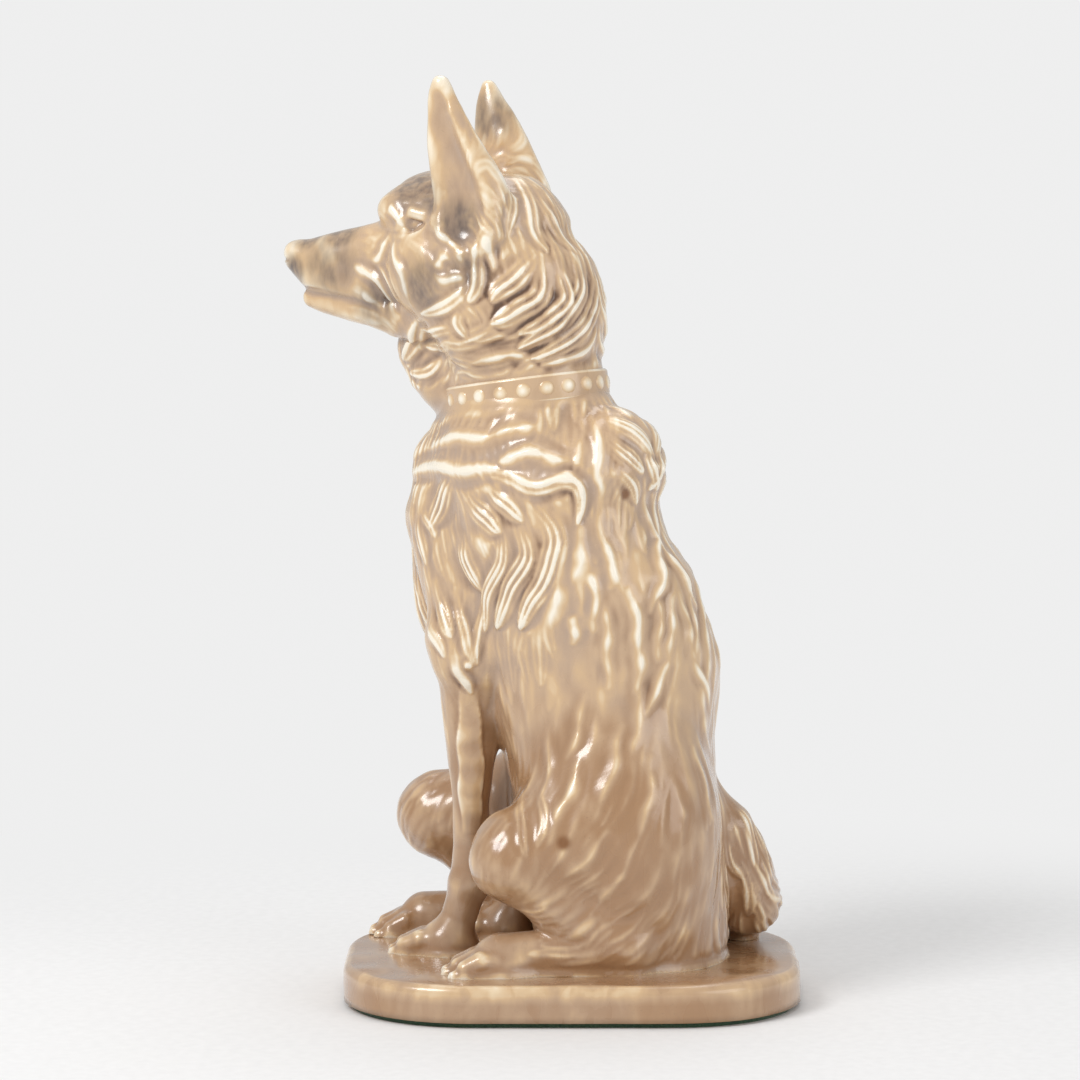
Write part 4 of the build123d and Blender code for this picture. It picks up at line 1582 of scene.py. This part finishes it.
# The glaze's colour from thick to thin: dark brown, tan, gold and cream.
GLAZE = [
    (0.00, shade(96, 66, 44)),
    (0.14, shade(146, 114, 86)),
    (0.30, shade(185, 152, 120)),
    (0.47, shade(205, 173, 138)),
    (0.60, shade(216, 182, 139)),
    (0.72, shade(234, 210, 174)),
    (0.90, shade(251, 242, 224)),
]
# The third colour darkens the nose, eyes and ears: dark glaze, and painted shade in their hollows.
POOL, LOW_RUN, DARK_GLAZE_AND_SHADE = shade(184, 159, 138), shade(168, 128, 90), shade(112, 96, 86)
SPECK, KILN_SPOT = shade(112, 88, 70), shade(132, 86, 42)


def glaze_thinness(n, cloud, patches, streak):
    """0 where the glaze lies thick and 1 where it is thin: thin on ridges and thick low down. Hollows are
    pushed towards thick as well, which paints shade into them along with the glaze pooled there.
    """
    thin = n.math("ADD", n.times(n.attribute("fine"), 0.135), n.times(n.attribute("broad"), 0.085))
    for noise, weight in ((cloud, 0.52), (patches, 0.44), (streak, 0.08)):
        thin = n.math("ADD", thin, n.times(n.less(noise, 0.5), weight))
    # The hollow measure pulls the colour towards dark brown in hollows: painted shade, along with glaze pooled
    # there.
    for measure, weight in (("hollow_shade", 0.17), ("run", 0.14)):
        thin = n.less(thin, n.times(n.attribute(measure), weight))
    return n.math("ADD", thin, 0.53, clamp=True)


def glaze_material():
    """Thick tan glaze: cream where it thins over ridges, gold beside them, mauve and brown where it pools, with
    painted shade darkening hollows, and dark glaze mixed with painted shade round the nose, eyes and ears.
    """
    n = Nodes("breaking_glaze")
    patches = n.noise(34.0, 2.0, 0.5, 0.6, squash=0.7)
    cloud = n.noise(120.0, 2.5, 0.5, 0.4, squash=0.5)
    streak = n.noise(420.0, 2.0, 0.5, squash=0.4)
    grain = n.noise(1500.0, 3.0, 0.65)
    thin = glaze_thinness(n, cloud, patches, streak)
    flat = n.ramp(thin, [(0.30, grey(1.0)), (0.62, grey(0.0))])
    pool = n.ramp(patches, [(0.46, grey(0.0)), (0.60, grey(0.9))], smooth=True)
    colour = n.mix(n.times(pool, flat), n.ramp(thin, GLAZE), POOL)
    colour = n.mix(n.times(n.times(n.attribute("run"), flat), 0.9), colour, LOW_RUN)
    mottle = n.ramp(streak, [(0.34, grey(0.5)), (0.64, grey(1.0))])
    # Mottled darkening round the nose, eyes and ears: dark glaze, and painted shade in their hollows.
    dark_and_shade_share = n.times(n.times(n.attribute("dark_glaze_and_shade"), mottle), n.less(1.5, thin), clamp=True)
    colour = n.mix(dark_and_shade_share, colour, DARK_GLAZE_AND_SHADE)
    specks = n.times(n.ramp(grain, [(0.60, grey(0.0)), (0.74, grey(0.6))]), flat)
    colour = n.mix(n.times(specks, n.ramp(cloud, [(0.45, grey(0.0)), (0.65, grey(1.0))])), colour, SPECK)
    colour = n.mix(n.attribute("spot"), colour, KILN_SPOT)
    n.put(n.bsdf.inputs["Base Color"], colour)
    n.put(n.bsdf.inputs["Roughness"], n.ramp(cloud, [(0.3, grey(0.22)), (0.7, grey(0.36))]))
    for key, value in (("IOR", 1.5), ("Coat Weight", 0.9), ("Coat Roughness", 0.17)):
        n.bsdf.inputs[key].default_value = value
    n.put(n.bsdf.inputs["Normal"], n.bump(n.noise(420.0, 3.0, 0.55), 0.00012, 0.5))
    return n.material


def felt_material():
    n = Nodes("green_felt")
    pile = n.noise(1800.0, 4.0, 0.7)
    n.put(n.bsdf.inputs["Base Color"], n.ramp(pile, [(0.3, shade(34, 62, 44)), (0.7, shade(66, 98, 72))]))
    n.bsdf.inputs["Roughness"].default_value = 0.95
    n.bsdf.inputs["Sheen Weight"].default_value = 0.4
    n.put(n.bsdf.inputs["Normal"], n.bump(pile, 0.0003))
    return n.material


BACKDROP = 0.86  # linear brightness of the studio's pale backdrop
FADE_FROM, FADE_TO = 0.14, 0.34  # metres from the centre between which the floor fades into the backdrop


def paper_material():
    """Pale paper that fades into the backdrop away from the figurine, so no horizon shows."""
    n = Nodes("pale_floor")
    fleck = n.noise(300.0, 2.0)
    paper = n.ramp(fleck, [(0.3, shade(238, 238, 238)), (0.7, shade(242, 242, 242))])
    n.put(n.bsdf.inputs["Base Color"], paper)
    n.bsdf.inputs["Roughness"].default_value = 0.9
    n.bsdf.inputs["Specular IOR Level"].default_value = 0.1
    far = n.tree.nodes.new("ShaderNodeEmission")
    far.inputs["Color"].default_value = grey(BACKDROP)
    place = n.tree.nodes.new("ShaderNodeNewGeometry")
    reach = n.tree.nodes.new("ShaderNodeVectorMath")
    reach.operation = "LENGTH"
    n.put(reach.inputs[0], place.outputs["Position"])
    mix = n.tree.nodes.new("ShaderNodeMixShader")
    fade = n.ramp(reach.outputs["Value"], [(FADE_FROM, grey(0.0)), (FADE_TO, grey(1.0))], smooth=True)
    n.put(mix.inputs[0], fade)
    n.tree.links.new(n.bsdf.outputs[0], mix.inputs[1])
    n.tree.links.new(far.outputs[0], mix.inputs[2])
    n.tree.links.new(mix.outputs[0], n.tree.nodes["Material Output"].inputs["Surface"])
    return n.material


# ---- stage ----
def floor():
    half = 3.0  # metres
    points = np.array([(-half, -half, 0), (half, -half, 0), (half, half, 0), (-half, half, 0)]) / MM
    sheet = make_mesh("floor_sheet", points, [(0, 1, 2, 3)])
    sheet.data.materials.append(paper_material())


def soft_light(name, place, aim_height, size, power):
    """Round softbox that points at the figurine's axis, aim_height metres up."""
    data = bpy.data.lights.new(name, "AREA")
    data.shape, data.size, data.energy = "DISK", size, power
    lamp = bpy.data.objects.new(name, data)
    lamp.location = place
    way = np.array([0.0, 0.0, aim_height]) - np.array(place)
    lamp.rotation_mode = "QUATERNION"
    lamp.rotation_quaternion = Vector(way).to_track_quat("-Z", "Y")
    bpy.context.collection.objects.link(lamp)


def studio_world():
    """Even white surroundings. The camera sees them as the pale backdrop."""
    world = bpy.data.worlds.new("studio")
    world.use_nodes = True
    tree = world.node_tree
    shown, lit = tree.nodes["Background"], tree.nodes.new("ShaderNodeBackground")
    shown.inputs["Color"].default_value = grey(BACKDROP)
    lit.inputs["Color"].default_value = grey(1.0)
    lit.inputs["Strength"].default_value = 0.56
    ray, mix = tree.nodes.new("ShaderNodeLightPath"), tree.nodes.new("ShaderNodeMixShader")
    tree.links.new(ray.outputs["Is Camera Ray"], mix.inputs[0])
    tree.links.new(lit.outputs[0], mix.inputs[1])
    tree.links.new(shown.outputs[0], mix.inputs[2])
    tree.links.new(mix.outputs[0], tree.nodes["World Output"].inputs["Surface"])
    bpy.context.scene.world = world


def lights():
    soft_light("key_softbox", (0.62, -0.72, 0.90), aim_height=0.15, size=0.5, power=7.0)
    soft_light("side_softbox", (0.70, 0.80, 0.40), aim_height=0.13, size=0.7, power=2.0)
    soft_light("top_softbox", (-0.25, 0.0, 0.95), aim_height=0.15, size=0.6, power=1.8)
    studio_world()
    bpy.context.scene.view_settings.view_transform = "Standard"


LENS = 135.0
CAMERA_REACH = 1.12  # metres from the middle of the figurine to the camera


def camera():
    """Looks along -X from 5 degrees up, through a long lens, with the whole figurine in the picture."""
    low, high = CAD_BOX
    centre = (np.array(low) + np.array(high)) / 2
    data = bpy.data.cameras.new("camera")
    data.lens = LENS
    eye = bpy.data.objects.new("camera", data)
    eye.location = centre + TOWARDS_VIEW * CAMERA_REACH
    eye.rotation_mode = "QUATERNION"
    eye.rotation_quaternion = Vector(-TOWARDS_VIEW).to_track_quat("-Z", "Y")
    bpy.context.collection.objects.link(eye)
    bpy.context.scene.camera = eye


def main():
    glaze = glaze_material()
    dog_pieces(glaze)
    slab(
        "plinth_glazed", "plinth", glaze,
        corner=36.0, edge=2.5, vent=5.0, rough=0.25, recess=(7.0, 5.5),
    )
    slab("felt_sheet", "felt_pad", felt_material(), corner=34.0, edge=0.5, vent=6.0, rough=0.02)
    collar_band(glaze)
    collar_studs(glaze)
    floor()
    lights()
    camera()


main()
